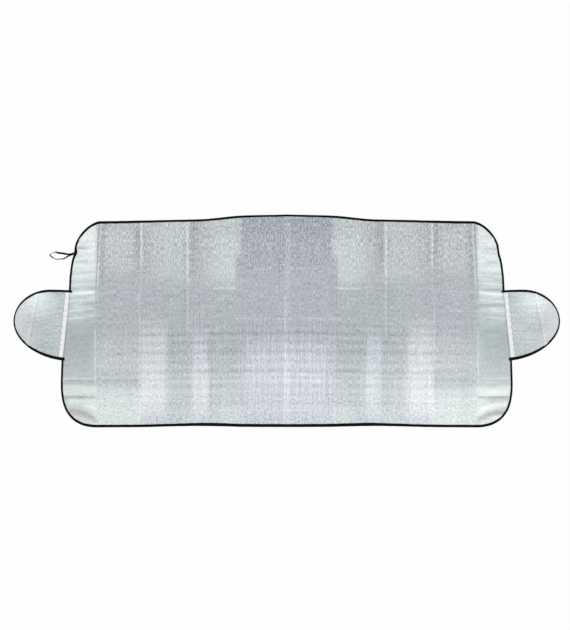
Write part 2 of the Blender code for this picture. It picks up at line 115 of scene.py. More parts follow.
class Graph:
    """The node tree of one material."""

    def __init__(self, name: str) -> None:
        """Start a material with a plain Principled shader.

        Args:
            name: the material's name.
        """
        self.material = bpy.data.materials.new(name)
        self.material.use_nodes = True
        self.tree = self.material.node_tree
        self.shader = self.tree.nodes["Principled BSDF"]
        self.output = self.tree.nodes["Material Output"]

    def feed(self, socket: bpy.types.NodeSocket, value: "Wire | float | tuple") -> None:
        """Link a wire to a socket, or set the socket to a plain value."""
        if isinstance(value, Wire):
            self.tree.links.new(value.socket, socket)
        else:
            socket.default_value = value

    def add(self, kind: str, settings: dict, inputs: dict, output: int | str = 0) -> Wire:
        """Add a node.

        Args:
            kind: the node's type.
            settings: its own properties, which are set first.
            inputs: values or wires for its sockets, by name or number.
            output: the socket that is wanted.

        Returns:
            The wire from that output.
        """
        node = self.tree.nodes.new(kind)
        for name, value in settings.items():
            setattr(node, name, value)
        for key, value in inputs.items():
            self.feed(node.inputs[key], value)
        return Wire(self, node.outputs[output])

    def math(self, operation: str, first: Wire | float, second: Wire | float = 0.0) -> Wire:
        """A Math node of two numbers."""
        return self.add("ShaderNodeMath", {"operation": operation}, {0: first, 1: second})

    def axes(self) -> tuple[Wire, Wire, Wire]:
        """The three Object coordinates of the point that is shaded."""
        place = self.add("ShaderNodeTexCoord", {}, {}, "Object")
        split = self.add("ShaderNodeSeparateXYZ", {}, {0: place})
        node = split.socket.node
        return tuple(Wire(self, node.outputs[axis]) for axis in range(3))

    def along_and_across(self, name: str) -> tuple[Wire, Wire]:
        """The piece's own UV map, in metres: along its run, and across it."""
        place = self.add("ShaderNodeUVMap", {"uv_map": name}, {})
        split = self.add("ShaderNodeSeparateXYZ", {}, {0: place})
        node = split.socket.node
        return Wire(self, node.outputs[0]), Wire(self, node.outputs[1])

    def attribute(self, name: str) -> Wire:
        """A number that the mesh holds at its points."""
        return self.add("ShaderNodeAttribute", {"attribute_name": name}, {}, "Fac")

    def noise(self, x: Wire, y: Wire, z: Wire | float, detail: float = 2.0, rough: float = 0.5) -> Wire:
        """Noise from 0 to 1 whose grains are about one unit wide in each given coordinate."""
        place = self.add("ShaderNodeCombineXYZ", {}, {0: x, 1: y, 2: z})
        return self.add(
            "ShaderNodeTexNoise", {}, {"Vector": place, "Scale": 1.0, "Detail": detail, "Roughness": rough}
        )

    def smooth(self, value: Wire, start: float, end: float) -> Wire:
        """0 at start, 1 at end and a smooth change between, in either direction."""
        settings = {"interpolation_type": "SMOOTHSTEP"}
        return self.add("ShaderNodeMapRange", settings, {"Value": value, "From Min": start, "From Max": end})

    def line(self, value: Wire, centre: Wire | float, half: float) -> Wire:
        """1 on a line and 0 from half its width away."""
        away = self.math("ABSOLUTE", value - centre)
        return self.smooth(away, half, 0.0)

    def window(self, value: Wire, low: float, high: float, soft: float) -> Wire:
        """1 between two values and 0 from soft outside them."""
        return self.smooth(value, low - soft, low) * self.smooth(value, high + soft, high)

    def wave(self, value: Wire, pitch: float) -> Wire:
        """Half a sine of the value plus half: from 0 to 1 and back once in each pitch."""
        return self.math("SINE", value * (math.tau / pitch)) * 0.5 + 0.5

    def mix(self, share: Wire | float, first: "Wire | Colour", second: "Wire | Colour") -> Wire:
        """A colour between two colours."""
        sides = {0: share}
        for key, colour in ((6, first), (7, second)):
            sides[key] = colour if isinstance(colour, Wire) else (*colour, 1.0)
        return self.add("ShaderNodeMix", {"data_type": "RGBA"}, sides, 2)

    def bump(self, height: Wire, distance: float, strength: float) -> Wire:
        """A normal bent by a height from 0 to 1 that stands for distance metres."""
        return self.add("ShaderNodeBump", {}, {"Height": height, "Distance": distance, "Strength": strength})

    def finish(
        self, colour: Wire, roughness: Wire, normal: Wire, metallic: float = 0.0, gloss: float = 0.3,
    ) -> bpy.types.Material:
        """Feed what changes over the surface into the shader and set the rest on its sockets.

        Args:
            colour: base colour.
            roughness: roughness.
            normal: bumped normal.
            metallic: share of metal.
            gloss: strength of the plain reflection, where 0.5 is usual.

        Returns:
            The finished material.
        """
        self.feed(self.shader.inputs["Base Color"], colour)
        self.feed(self.shader.inputs["Roughness"], roughness)
        self.feed(self.shader.inputs["Normal"], normal)
        self.feed(self.shader.inputs["Metallic"], metallic)
        self.feed(self.shader.inputs["Specular IOR Level"], gloss)
        return self.material


def light_of(tone: float | Array) -> float | Array:
    """A screen tone t, 0 to 255, as light: (t / 255 + 0.055) / 1.055 to the power 2.4."""
    return ((tone / 255 + 0.055) / 1.055) ** 2.4


def linear(colour: Colour) -> Colour:
    """A colour as it shows on a screen, 0 to 255, as the light that the shader works with."""
    return tuple(light_of(channel) for channel in colour)


# Finishes


class Way(Enum):
    """Which way a mark on the film runs, and whether both halves have it."""

    UPRIGHT = "upright in both halves, at a distance from the middle"
    LEVEL = "level in both halves, at a height"
    MIDDLE = "upright and near the middle, at one place"


@dataclass(frozen=True)
class Mark:
    """A fine line of painted light on the film, along the edge of a fold or a faint cross crease: a painted
    highlight where its strength is positive and painted shade where it is negative.

    It lies at one place, half its width to either side, and runs from a start to an end with soft ends. The
    strength is a share of the way from the film's dark to its light colour. Slant moves it aside along its
    run.
    """

    way: Way
    at: float
    half: float
    start: float
    end: float
    soft: float
    strength: float
    slant: float = 0.0


UPRIGHT, LEVEL, MIDDLE = Way
# Painted highlights and painted shade along the panel's folds and cross creases.
PANEL_PAINTED_LINES = (
    Mark(UPRIGHT, 0.6275, 0.0038, 0.090, 0.330, 0.040, -0.17, -0.05),
    Mark(UPRIGHT, 0.6213, 0.0046, 0.130, 0.330, 0.030, 0.19, -0.05),
    Mark(UPRIGHT, 0.6085, 0.0090, 0.150, 0.340, 0.050, -0.07, -0.05),
    Mark(UPRIGHT, 0.6350, 0.0038, -0.190, -0.035, 0.020, 0.18),
    Mark(UPRIGHT, 0.6350, 0.0036, -0.320, -0.200, 0.020, 0.07),
    Mark(UPRIGHT, 0.4825, 0.0064, 0.220, 0.340, 0.070, 0.25),
    Mark(UPRIGHT, 0.4825, 0.0045, 0.110, 0.200, 0.030, 0.06),
    Mark(UPRIGHT, 0.4945, 0.0105, 0.255, 0.340, 0.070, -0.09),
    Mark(UPRIGHT, 0.4895, 0.0045, -0.310, 0.080, 0.030, 0.09),
    Mark(UPRIGHT, 0.4810, 0.0045, -0.310, -0.020, 0.030, -0.05),
    Mark(UPRIGHT, 0.4060, 0.0045, -0.200, -0.060, 0.030, 0.04),
    Mark(UPRIGHT, 0.3286, 0.0074, 0.220, 0.340, 0.120, 0.17),
    Mark(UPRIGHT, 0.3286, 0.0066, -0.020, 0.160, 0.050, 0.09),
    Mark(UPRIGHT, 0.3378, 0.0045, -0.020, 0.330, 0.040, -0.07),
    Mark(UPRIGHT, 0.3100, 0.0120, 0.240, 0.340, 0.090, -0.06),
    Mark(UPRIGHT, 0.2800, 0.0036, -0.230, 0.055, 0.015, 0.06),
    Mark(UPRIGHT, 0.1560, 0.0040, -0.320, -0.050, 0.020, 0.04),
    Mark(MIDDLE, -0.0055, 0.0040, -0.340, 0.070, 0.020, 0.16),
    Mark(MIDDLE, 0.0030, 0.0150, -0.340, 0.350, 0.020, 0.07),
    Mark(MIDDLE, -0.0240, 0.0036, 0.070, 0.340, 0.030, -0.07),
    Mark(LEVEL, -0.0480, 0.0045, 0.350, 0.480, 0.015, -0.07),
    Mark(LEVEL, -0.1080, 0.0050, 0.402, 0.480, 0.012, -0.08, 0.03),
    Mark(LEVEL, -0.0398, 0.0045, -0.010, 0.250, 0.010, -0.05),
    Mark(LEVEL, -0.1008, 0.0045, -0.010, 0.230, 0.020, -0.05),
    Mark(LEVEL, -0.1668, 0.0050, -0.010, 0.290, 0.010, -0.06),
    Mark(LEVEL, -0.1992, 0.0036, 0.170, 0.250, 0.010, 0.05),
    Mark(LEVEL, -0.1992, 0.0036, 0.340, 0.400, 0.010, 0.06),
    Mark(LEVEL, -0.1980, 0.0065, 0.490, 0.730, 0.010, -0.11),
    Mark(LEVEL, -0.1905, 0.0036, 0.655, 0.735, 0.020, 0.15),
    Mark(LEVEL, -0.2525, 0.0052, 0.636, 0.735, 0.004, -0.20),
    Mark(LEVEL, 0.1080, 0.0062, 0.180, 0.235, 0.018, 0.19, -0.03),
    Mark(LEVEL, 0.0970, 0.0052, 0.530, 0.605, 0.020, 0.08, -0.04),
    Mark(LEVEL, 0.0740, 0.0050, 0.180, 0.235, 0.020, 0.07, -0.03),
    Mark(LEVEL, -0.0017, 0.0055, 0.420, 0.600, 0.030, 0.05),
    Mark(LEVEL, 0.0320, 0.0050, 0.550, 0.615, 0.020, 0.06),
    Mark(LEVEL, 0.0083, 0.0058, -0.010, 0.165, 0.020, 0.08),
    Mark(LEVEL, 0.3120, 0.0040, 0.190, 0.235, 0.010, -0.14),
    Mark(LEVEL, 0.2412, 0.0078, 0.660, 0.705, 0.008, -0.20, 0.04),
    Mark(LEVEL, 0.1965, 0.0060, 0.664, 0.698, 0.008, -0.17, -0.12),
    Mark(LEVEL, 0.1570, 0.0070, 0.640, 0.715, 0.015, -0.11, -0.04),
    Mark(LEVEL, 0.1495, 0.0040, 0.670, 0.715, 0.020, 0.08, -0.09),
    Mark(LEVEL, 0.1345, 0.0075, 0.635, 0.715, 0.015, -0.07),
    Mark(LEVEL, 0.1225, 0.0042, 0.655, 0.720, 0.020, 0.10, -0.05),
    Mark(LEVEL, 0.1050, 0.0100, 0.635, 0.725, 0.015, -0.10, -0.05),
    Mark(LEVEL, 0.0905, 0.0075, 0.645, 0.725, 0.015, 0.22, -0.09),
    Mark(LEVEL, 0.0672, 0.0042, 0.645, 0.725, 0.015, 0.13, -0.09),
    Mark(LEVEL, 0.0530, 0.0090, 0.635, 0.730, 0.015, -0.08),
    Mark(LEVEL, 0.0365, 0.0052, 0.645, 0.730, 0.015, 0.12, -0.09),
    Mark(LEVEL, 0.0100, 0.0048, 0.645, 0.730, 0.015, 0.13, -0.09),
)
# Painted highlights and painted shade along the flap's slanted fold.
FLAP_PAINTED_LINES = (
    Mark(UPRIGHT, 0.8428, 0.0036, -0.060, 0.080, 0.015, 0.14, -0.1925),
    Mark(UPRIGHT, 0.8365, 0.0070, -0.050, 0.085, 0.020, -0.08, -0.1925),
    Mark(UPRIGHT, 0.8530, 0.0034, -0.040, 0.020, 0.015, 0.06, -0.1925),
)


@dataclass(frozen=True)
class FoilFinish:
    """Satin silver film on thin foam, embossed with fine upright ribs and short dashes."""

    name: str = "silver_film"
    dark_cool: Colour = (113, 118, 127)
    light_cool: Colour = (244, 248, 254)
    dark_green: Colour = (111, 122, 124)
    light_green: Colour = (241, 252, 251)
    dark_warm: Colour = (122, 117, 102)
    light_warm: Colour = (250, 248, 240)
    dark_tone: float = 119.0
    light_tone: float = 248.5
    rib_width: float = 0.0068
    rib_length: float = 0.150
    dash_width: float = 0.0032
    dash_length: float = 0.0130
    dash_strength: float = 1.05
    dash_loss: float = 0.80
    speck_size: float = 0.0042
    speck_strength: float = 0.60
    speck_loss: float = 0.35
    blot_size: float = 0.0075
    blot_strength: float = 0.85
    streak_length: float = 0.060
    streak_width: float = 0.0090
    streak_slope: float = 8.0
    line_breakup_scale: float = 40.0
    foot_height: float = -0.235
    foot_soft: float = 0.02
    roughness: float = 0.40
    metallic: float = 0.45
    emboss_height: float = 0.0005
    emboss_strength: float = 0.45
    marks: tuple[Mark, ...] = ()

    def level_of(self, tone: Array) -> Array:
        """Where a screen tone lies between the finish's dark and light ends, in light and not in tone."""
        low, high = light_of(self.dark_tone), light_of(self.light_tone)
        return (light_of(tone) - low) / (high - low)

    def dress(self) -> bpy.types.Material:
        """Make the material.

        The mesh gives at its points the painted sheen and shade, its green and its warm tint, and the
        strength of the grain, of the cross streaks and of the upright ribs. Upright dashes and round specks
        make the grain, and at the foot of the cover they lose strength to larger blots. Fine lines add
        painted highlights and painted shade along the folds and creases.

        Returns:
            The material.
        """
        graph = Graph(self.name)
        x, y, _ = graph.axes()
        reach = graph.math("ABSOLUTE", x)
        wander = graph.noise(x * 9.0, y * 5.0, 0.0)
        dash = graph.noise(x / self.dash_width, y / self.dash_length, 1.0, 2.0, 0.6) - 0.5
        speck = graph.noise(x / self.speck_size, y / self.speck_size, 4.0, 1.0) - 0.5
        blot = graph.noise(x / self.blot_size, y / self.blot_size, 9.0, 1.0) - 0.5
        rib = graph.noise(x / self.rib_width, y / self.rib_length, 7.0, 1.0) - 0.5
        foot = graph.smooth(y, self.foot_height + self.foot_soft, self.foot_height - self.foot_soft)
        emboss = dash * (self.dash_strength - foot * self.dash_loss)
        emboss = emboss + speck * (self.speck_strength - foot * self.speck_loss)
        emboss = emboss + blot * foot * self.blot_strength
        # Cross streaks: slanted noise that bumps the film as small cross wrinkles and also paints their
        # highlights and shade into its colour.
        slanted = y / self.streak_width + reach * self.streak_slope
        streak = graph.noise(x / self.streak_length, slanted, 6.0, 3.0, 0.6) - 0.5
        level = graph.attribute("sheen") + emboss * graph.attribute("grain")
        level = level + streak * graph.attribute("streak") + rib * graph.attribute("rib")
        # Noise that breaks up the painted fold lines along their run.
        line_breakup = graph.smooth(graph.noise(x * self.line_breakup_scale, y * self.line_breakup_scale, 2.0), 0.30, 0.70)
        broken = 0.65 + line_breakup * 0.7
        # The fine lines: painted highlights and painted shade along the folds and creases.
        for mark in self.marks:
            across = {UPRIGHT: reach, LEVEL: y, MIDDLE: x}[mark.way]
            along = reach if mark.way is LEVEL else y
            middle = (mark.start + mark.end) / 2
            place = across - (along - middle) * mark.slant if mark.slant else across
            line = graph.line(place, mark.at, mark.half)
            line = line * graph.window(along, mark.start, mark.end, mark.soft)
            level = level + line * broken * mark.strength
        tint, warm = graph.attribute("tint"), graph.attribute("warm")
        dark = graph.mix(tint, linear(self.dark_cool), linear(self.dark_green))
        light = graph.mix(tint, linear(self.light_cool), linear(self.light_green))
        dark = graph.mix(warm, dark, linear(self.dark_warm))
        light = graph.mix(warm, light, linear(self.light_warm))
        # The level mixes the dark and light colours: painted sheen and shade from the mesh, the painted
        # lines, the streaks and the random grain.
        colour = graph.mix(level, dark, light)
        roughness = self.roughness + speck * 0.16 + wander * 0.06
        height = emboss + streak * 0.6 + rib * 0.3 + 0.5
        normal = graph.bump(height, self.emboss_height, self.emboss_strength)
        return graph.finish(colour, roughness, normal, metallic=self.metallic, gloss=0.5)


@dataclass(frozen=True)
class TapeFinish:
    """Black woven binding tape: cross ribs of thread, with a finer rib along the run."""

    name: str = "black_tape"
    dark: Colour = (3, 3, 8)
    light: Colour = (20, 20, 27)
    rib_pitch: float = 0.0011
    thread_pitch: float = 0.0008

    def dress(self) -> bpy.types.Material:
        """Make the material, which reads the run's own UV map."""
        graph = Graph(self.name)
        along, across = graph.along_and_across("run")
        weave = graph.wave(along, self.rib_pitch) * 0.65 + graph.wave(across, self.thread_pitch) * 0.35
        worn = graph.noise(along * 60.0, across * 220.0, 2.0, 3.0)
        colour = graph.mix(weave * 0.45 + worn * 0.4, linear(self.dark), linear(self.light))
        return graph.finish(colour, 0.82 - worn * 0.18, graph.bump(weave, 0.0002, 0.6), gloss=0.06)


@dataclass(frozen=True)
class JoiningFinish:
    """White non-woven tape: matted short fibres, with lilac painted shade in its puckers and along its edges.
    """

    name: str = "white_joining_tape"
    dark: Colour = (205, 206, 232)
    light: Colour = (251, 252, 255)

    def dress(self) -> bpy.types.Material:
        """Make the material. The mesh gives the painted shade at each point: in the puckers, and less along
        the edges.
        """
        graph = Graph(self.name)
        along, across = graph.along_and_across("run")
        fibres = graph.noise(along * 900.0, across * 1500.0, 0.0, 3.0, 0.65)
        cloud = graph.noise(along * 120.0, across * 160.0, 5.0)
        # The pucker number is painted shade that darkens the tape towards lilac.
        level = 1.02 - graph.attribute("pucker") * 0.28 - (fibres - 0.5) * 0.5 - (cloud - 0.5) * 0.35
        colour = graph.mix(level, linear(self.dark), linear(self.light))
        return graph.finish(colour, 0.78 + fibres * 0.15, graph.bump(fibres, 0.0003, 0.5))


@dataclass(frozen=True)
class ElasticFinish:
    """Black braided elastic: slanted plaits either way across a flat band."""

    name: str = "black_elastic"
    dark: Colour = (2, 2, 5)
    light: Colour = (20, 20, 25)
    plait_pitch: float = 0.0013

    def dress(self) -> bpy.types.Material:
        """Make the material, which reads the run's own UV map."""
        graph = Graph(self.name)
        along, across = graph.along_and_across("run")
        turns = math.tau / self.plait_pitch
        plait = graph.math("SINE", (along + across) * turns) * graph.math("SINE", (along - across) * turns)
        worn = graph.noise(along * 300.0, across * 400.0, 0.0)
        colour = graph.mix(plait * 0.3 + worn * 0.5 + 0.1, linear(self.dark), linear(self.light))
        normal = graph.bump(plait * 0.5 + 0.5, 0.00025, 0.7)
        return graph.finish(colour, 0.80 - worn * 0.15, normal, gloss=0.08)


@dataclass(frozen=True)
class ThreadFinish:
    """Twisted sewing thread."""

    name: str
    dark: Colour
    light: Colour
    twist_pitch: float = 0.0006
    fuzz_scale: float = 2500.0

    def dress(self) -> bpy.types.Material:
        """Make the material: a fine slanted twist in Object coordinates."""
        graph = Graph(self.name)
        x, y, z = graph.axes()
        twist = graph.wave(x + y + z * 2.0, self.twist_pitch)
        fuzz = graph.noise(x * self.fuzz_scale, y * self.fuzz_scale, z * self.fuzz_scale)
        colour = graph.mix(twist * 0.6 + fuzz * 0.4, linear(self.dark), linear(self.light))
        return graph.finish(colour, 0.55 + fuzz * 0.2, graph.bump(twist, 0.0001, 0.6))


# Curves and meshes


def smooth_step(t: Array) -> Array:
    """0 below 0, 1 above 1, and 3t^2 - 2t^3 between them."""
    t = np.clip(t, 0.0, 1.0)
    return t * t * (3 - 2 * t)


def past(value: Array, start: float, soft: float) -> Array:
    """0 up to the start and 1 from soft beyond it, with a smooth change; a negative soft counts downwards."""
    return smooth_step((value - start) / soft)


def bell(value: Array, centre: float, half: float) -> Array:
    """1 at the centre, falling smoothly to 0 at half the width from it."""
    return smooth_step(1 - np.abs(value - centre) / half)


def between(value: Array, low: float, high: float, soft: float) -> Array:
    """1 between two values, falling smoothly to 0 at soft outside them."""
    return smooth_step((value - low + soft) / soft) * smooth_step((high + soft - value) / soft)


def smooth_through(knots: tuple, at: Array) -> Array:
    """Values of the smooth cubic curve through knots.

    Args:
        knots: pairs of position and value, in order.
        at: positions to read.

    Returns:
        The value at each position, with each knot's slope taken from its neighbours.
    """
    position, value = np.array(knots).T
    slope = np.gradient(value, position)
    k = np.clip(np.searchsorted(position, at) - 1, 0, len(position) - 2)
    span = position[k + 1] - position[k]
    t = (at - position[k]) / span
    start = (1 + 2 * t) * (1 - t) ** 2 * value[k] + t * (1 - t) ** 2 * span * slope[k]
    end = t**2 * (3 - 2 * t) * value[k + 1] + t**2 * (t - 1) * span * slope[k + 1]
    return start + end


def rounded_corner(level_end: tuple, upright_end: tuple, power: float, steps: int = 48) -> Array:
    """A quarter superellipse: x by sin^(2/power) of the turn and y by cos^(2/power).

    Args:
        level_end: where the curve runs level.
        upright_end: where it runs upright.
        power: 2 is an ellipse, and more is squarer.
        steps: how many steps it has.

    Returns:
        Plan points from the level end to the upright end.
    """
    turn = np.linspace(0.0, math.pi / 2, steps + 1)
    x = level_end[0] + (upright_end[0] - level_end[0]) * np.sin(turn) ** (2 / power)
    y = upright_end[1] + (level_end[1] - upright_end[1]) * np.cos(turn) ** (2 / power)
    return np.stack([x, y], axis=1)


def run_along(path: Array) -> Array:
    """Distance from a path's start to each of its points."""
    return np.concatenate([[0.0], np.cumsum(np.linalg.norm(np.diff(path, axis=0), axis=1))])


def points_at(path: Array, places: Array) -> Array:
    """The path's points at distances from its start."""
    at = run_along(path)
    return np.stack([np.interp(places, at, column) for column in path.T], axis=1)


def evenly(path: Array, count: int) -> Array:
    """The path read at count points, evenly spaced along it, both ends included."""
    return points_at(path, np.linspace(0.0, run_along(path)[-1], count))


def closed_up(values: Array) -> Array:
    """Rows with the first one again at the end."""
    return np.concatenate([values, values[:1]])


def unit(vectors: Array) -> Array:
    """Rows of vectors, each made one unit long."""
    return vectors / np.linalg.norm(vectors, axis=1)[:, None]


def area_inside(loop: Array) -> float:
    """Area inside a closed plan loop: half the sum of x times the next y less y times the next x."""
    following = np.roll(loop, -1, axis=0)
    return float(abs((loop[:, 0] * following[:, 1] - loop[:, 1] * following[:, 0]).sum()) / 2)


def normals_of(path: Array, closed: bool, blur: int = 0) -> Array:
    """Outward unit normals of an anticlockwise plan path.

    Args:
        path: the plan points.
        closed: whether the last point is followed by the first.
        blur: how many neighbours either side smooth the direction.

    Returns:
        One normal for each point: its direction along the path, turned a quarter clockwise.
    """
    if closed:
        padded = np.concatenate([path[-blur - 1:], path, path[:blur + 1]])
    else:
        padded = np.concatenate([
            path[0] + (path[0] - path[1]) * np.arange(blur + 1, 0, -1)[:, None], path,
            path[-1] + (path[-1] - path[-2]) * np.arange(1, blur + 2)[:, None],
        ])
    reach = 2 * (blur + 1)
    along = padded[reach:] - padded[:-reach]
    return unit(np.stack([along[:, 1], -along[:, 0]], axis=1))


def patch_between(lower: Array, right: Array, upper: Array, left: Array) -> Array:
    """A grid that fills four edges: the blend of each pair of opposite edges, less the blend of the corners.

    Args:
        lower: points of the lower edge, left to right.
        right: points of the right edge, upwards.
        upper: points of the upper edge, left to right.
        left: points of the left edge, upwards.

    Returns:
        Plan points in rows from the lower edge up.
    """
    u = np.linspace(0, 1, len(lower))[None, :, None]
    v = np.linspace(0, 1, len(left))[:, None, None]
    across = (1 - v) * lower[None] + v * upper[None]
    along = (1 - u) * left[:, None] + u * right[:, None]
    corners = (1 - u) * ((1 - v) * lower[0] + v * upper[0]) + u * ((1 - v) * lower[-1] + v * upper[-1])
    return across + along - corners


def put_in_scene(name: str, data: bpy.types.ID) -> bpy.types.Object:
    """Make an object of a mesh, a lamp or a camera, and link it to the scene."""
    made = bpy.data.objects.new(name, data)
    bpy.context.scene.collection.objects.link(made)
    return made


def add_piece(
    name: str, points: Array, quads: Array, finish: bpy.types.Material,
    attributes: dict[str, Array] | None = None, uv: Array | None = None,
) -> bpy.types.Object:
    """Make a closed piece whose faces point outwards.

    The faces are turned round where the volume inside them, the sum over triangles of a . (b x c) / 6, is
    negative.

    Args:
        name: the piece's name.
        points: its vertices.
        quads: four vertex numbers a face.
        finish: its material.
        attributes: numbers at its vertices, by name.
        uv: the run's own coordinates at each corner of each face.

    Returns:
        The object, at the origin.
    """
    a, b, c, d = (points[quads[:, k]] for k in range(4))
    volume = (a * np.cross(b, c)).sum() + (a * np.cross(c, d)).sum()
    if volume < 0:
        quads = quads[:, ::-1]
        uv = None if uv is None else uv[:, ::-1]
    mesh = bpy.data.meshes.new(name)
    mesh.vertices.add(len(points))
    mesh.vertices.foreach_set("co", points.astype(np.float32).ravel())
    mesh.loops.add(quads.size)
    mesh.loops.foreach_set("vertex_index", quads.astype(np.int32).ravel())
    mesh.polygons.add(len(quads))
    mesh.polygons.foreach_set("loop_start", np.arange(0, quads.size, 4, dtype=np.int32))
    for key, values in (attributes or {}).items():
        held = mesh.attributes.new(key, "FLOAT", "POINT")
        held.data.foreach_set("value", values.astype(np.float32).ravel())
    if uv is not None:
        mesh.uv_layers.new(name="run").data.foreach_set("uv", uv.astype(np.float32).ravel())
    mesh.update(calc_edges=True)
    mesh.shade_smooth()
    mesh.set_sharp_from_angle(angle=SHARP_ANGLE)
    mesh.materials.append(finish)
    return put_in_scene(name, mesh)


def sheet_faces(rows: int, columns: int) -> Array:
    """Faces of a closed sheet: its lower grid, its upper grid, and a strip round their edge.

    Args:
        rows: how many rows of points each grid has.
        columns: how many points a row has.

    Returns:
        Four vertex numbers a face, where the upper grid's points follow the lower grid's.
    """
    number = np.arange(rows * columns).reshape(rows, columns)
    cells = [number[:-1, :-1], number[:-1, 1:], number[1:, 1:], number[1:, :-1]]
    upper = np.stack([cell.ravel() for cell in cells], axis=1)
    edge = np.concatenate([number[0, :-1], number[:-1, -1], number[-1, :0:-1], number[:0:-1, 0]])
    following = np.roll(edge, -1)
    rim = np.stack([edge, following, following + rows * columns, edge + rows * columns], axis=1)
    return np.concatenate([upper[:, ::-1], upper + rows * columns, rim])


def add_sheet(
    name: str, plan: Array, bottom: Array, top: Array, material: bpy.types.Material,
    looks: dict[str, Array],
) -> bpy.types.Object:
    """Make a closed sheet from a grid of plan points and the heights of both its faces.

    Args:
        name: the sheet's name.
        plan: its points in rows, as x and y.
        bottom: height of the underside at each.
        top: height of the upper face at each.
        material: its material.
        looks: numbers at each point for the material, by name, the same on both faces.

    Returns:
        The object.
    """
    points = np.concatenate([np.dstack([plan, height]).reshape(-1, 3) for height in (bottom, top)])
    doubled = {key: np.tile(values.ravel(), 2) for key, values in looks.items()}
    return add_piece(name, points, sheet_faces(*plan.shape[:2]), material, doubled)


def carried_faces(stations: int, size: int, closed: bool) -> tuple[Array, Array]:
    """Faces of a profile carried along a path, with zipped caps on an open one.

    Args:
        stations: how many profiles there are.
        size: how many points a profile has, an even number.
        closed: whether the last profile is followed by the first.

    Returns:
        Four vertex numbers a face, and the station and profile point of each corner before they wrap round.
    """
    i, k = np.meshgrid(np.arange(stations if closed else stations - 1), np.arange(size), indexing="ij")
    corner_i = np.stack([i, i, i + 1, i + 1], axis=-1).reshape(-1, 4)
    corner_k = np.stack([k, k + 1, k + 1, k], axis=-1).reshape(-1, 4)
    if not closed:
        near = np.arange(size // 2 - 1)
        cap = np.stack([near, near + 1, size - 2 - near, size - 1 - near], axis=1)
        corner_i = np.concatenate([corner_i, 0 * cap, 0 * cap + stations - 1])
        corner_k = np.concatenate([corner_k, cap[:, ::-1], cap])
    quads = corner_i % stations * size + corner_k % size
    return quads, np.stack([corner_i, corner_k], axis=-1)


def carried_uv(sections: Array, corners: Array, closed: bool) -> Array:
    """The run's own coordinates at each face corner, in metres: along the path, and round the profile.

    Args:
        sections: the profiles, as stations by points by x, y and z.
        corners: station and profile point of each corner, from carried_faces.
        closed: whether the path is closed.

    Returns:
        Two coordinates for each corner of each face.
    """
    middle = sections.mean(axis=1)
    along = run_along(closed_up(middle) if closed else middle)
    across = run_along(closed_up(sections[0]))
    return np.stack([along[corners[..., 0]], across[corners[..., 1]]], axis=-1)


def add_carried(
    name: str, sections: Array, closed: bool, finish: bpy.types.Material,
    attributes: dict[str, Array] | None = None,
) -> bpy.types.Object:
    """Make a piece from a profile carried along a path.

    Args:
        name: the piece's name.
        sections: the profiles, as stations by points by x, y and z.
        closed: whether the path is closed.
        finish: its material.
        attributes: numbers at the points, by name.

    Returns:
        The object.
    """
    quads, corners = carried_faces(*sections.shape[:2], closed)
    uv = carried_uv(sections, corners, closed)
    return add_piece(name, sections.reshape(-1, 3), quads, finish, attributes, uv)


def settle(piece: bpy.types.Object, node: str) -> bpy.types.Object:
    """Let a piece ride on the cover and stand for its solid."""
    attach(piece, BODY)
    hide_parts(node)
    log.info("%s stands for %s: %d faces", piece.name, node, len(piece.data.polygons))
    return piece


# Stock sizes shared by the sub-assemblies


@dataclass(frozen=True)
class Stock:
    """The sheet, the tape and the air between pieces that touch."""

    panel: float = 0.0025
    flap: float = 0.0015
    tape: float = 0.0005
    clearance: float = 0.0003

    @property
    def sheet_rise(self) -> float:
        """How far a sheet lies above its binding's lowest face."""
        return self.tape + self.clearance

    @property
    def bound_height(self) -> float:
        """Height of the panel's bound edge."""
        return 2 * self.sheet_rise + self.panel

    @property
    def flap_root_lift(self) -> float:
        """Height at which a flap's binding laps over the panel's."""
        return self.bound_height + self.clearance


@dataclass(frozen=True)
class Stitch:
    """A row of lock stitches: short capsules of thread that dip at both ends."""

    pitch: float = 0.0040
    length: float = 0.0030
    radius: float = 0.00024
    sink: float = 0.00010
    rings: tuple[float, ...] = (-0.96, -0.5, 0.5, 0.96)
    around: int = 6

    def row(self, path: Array, upwards: float) -> tuple[Array, Array]:
        """One row of stitches.

        Each stitch is a six-sided tube of four rings whose radius follows the square root of 1 - t^2, and
        whose middle stands proud by sink times 1 - t^2.

        Args:
            path: the line that the stitches follow, as points in space.
            upwards: 1 for a row whose middles stand proud, and 0 for a level one on an underside.

        Returns:
            Vertices and faces.
        """
        count = int(run_along(path)[-1] / self.pitch)
        middle = (np.arange(count) + 0.5) * self.pitch
        place = points_at(path, middle)
        along = unit(points_at(path, middle + self.length / 2) - place)
        across = np.stack([-along[:, 1], along[:, 0], 0 * along[:, 0]], axis=1)
        t = np.array(self.rings)[None, :, None]
        turn = np.linspace(0, math.tau, self.around, endpoint=False)[None, None]
        radius = self.radius * np.sqrt(1 - t**2)
        points = (
            (place[:, None, None] + along[:, None, None] * (t * self.length / 2)[..., None])
            + across[:, None, None] * (radius * np.cos(turn))[..., None]
        )
        points[..., 2] += radius * np.sin(turn) + upwards * self.sink * (1 - t**2)
        quads, _ = carried_faces(len(self.rings), self.around, False)
        first = len(self.rings) * self.around * np.arange(count)
        every = quads[None] + first[:, None, None]
        return points.reshape(-1, 3), every.reshape(-1, 4)


def add_stitching(name: str, rows: list[tuple[Array, Array]], finish: bpy.types.Material) -> bpy.types.Object:
    """Join rows of stitches into one piece that rides on the cover.

    Args:
        name: the piece's name.
        rows: vertices and faces of each row.
        finish: the thread.

    Returns:
        The object.
    """
    starts = np.cumsum([0] + [len(points) for points, _ in rows])
    points = np.concatenate([points for points, _ in rows])
    quads = np.concatenate([quads + start for (_, quads), start in zip(rows, starts)])
    made = add_piece(name, points, quads, finish)
    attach(made, BODY)
    log.info("%s: %d faces", name, len(quads))
    return made


# The main panel


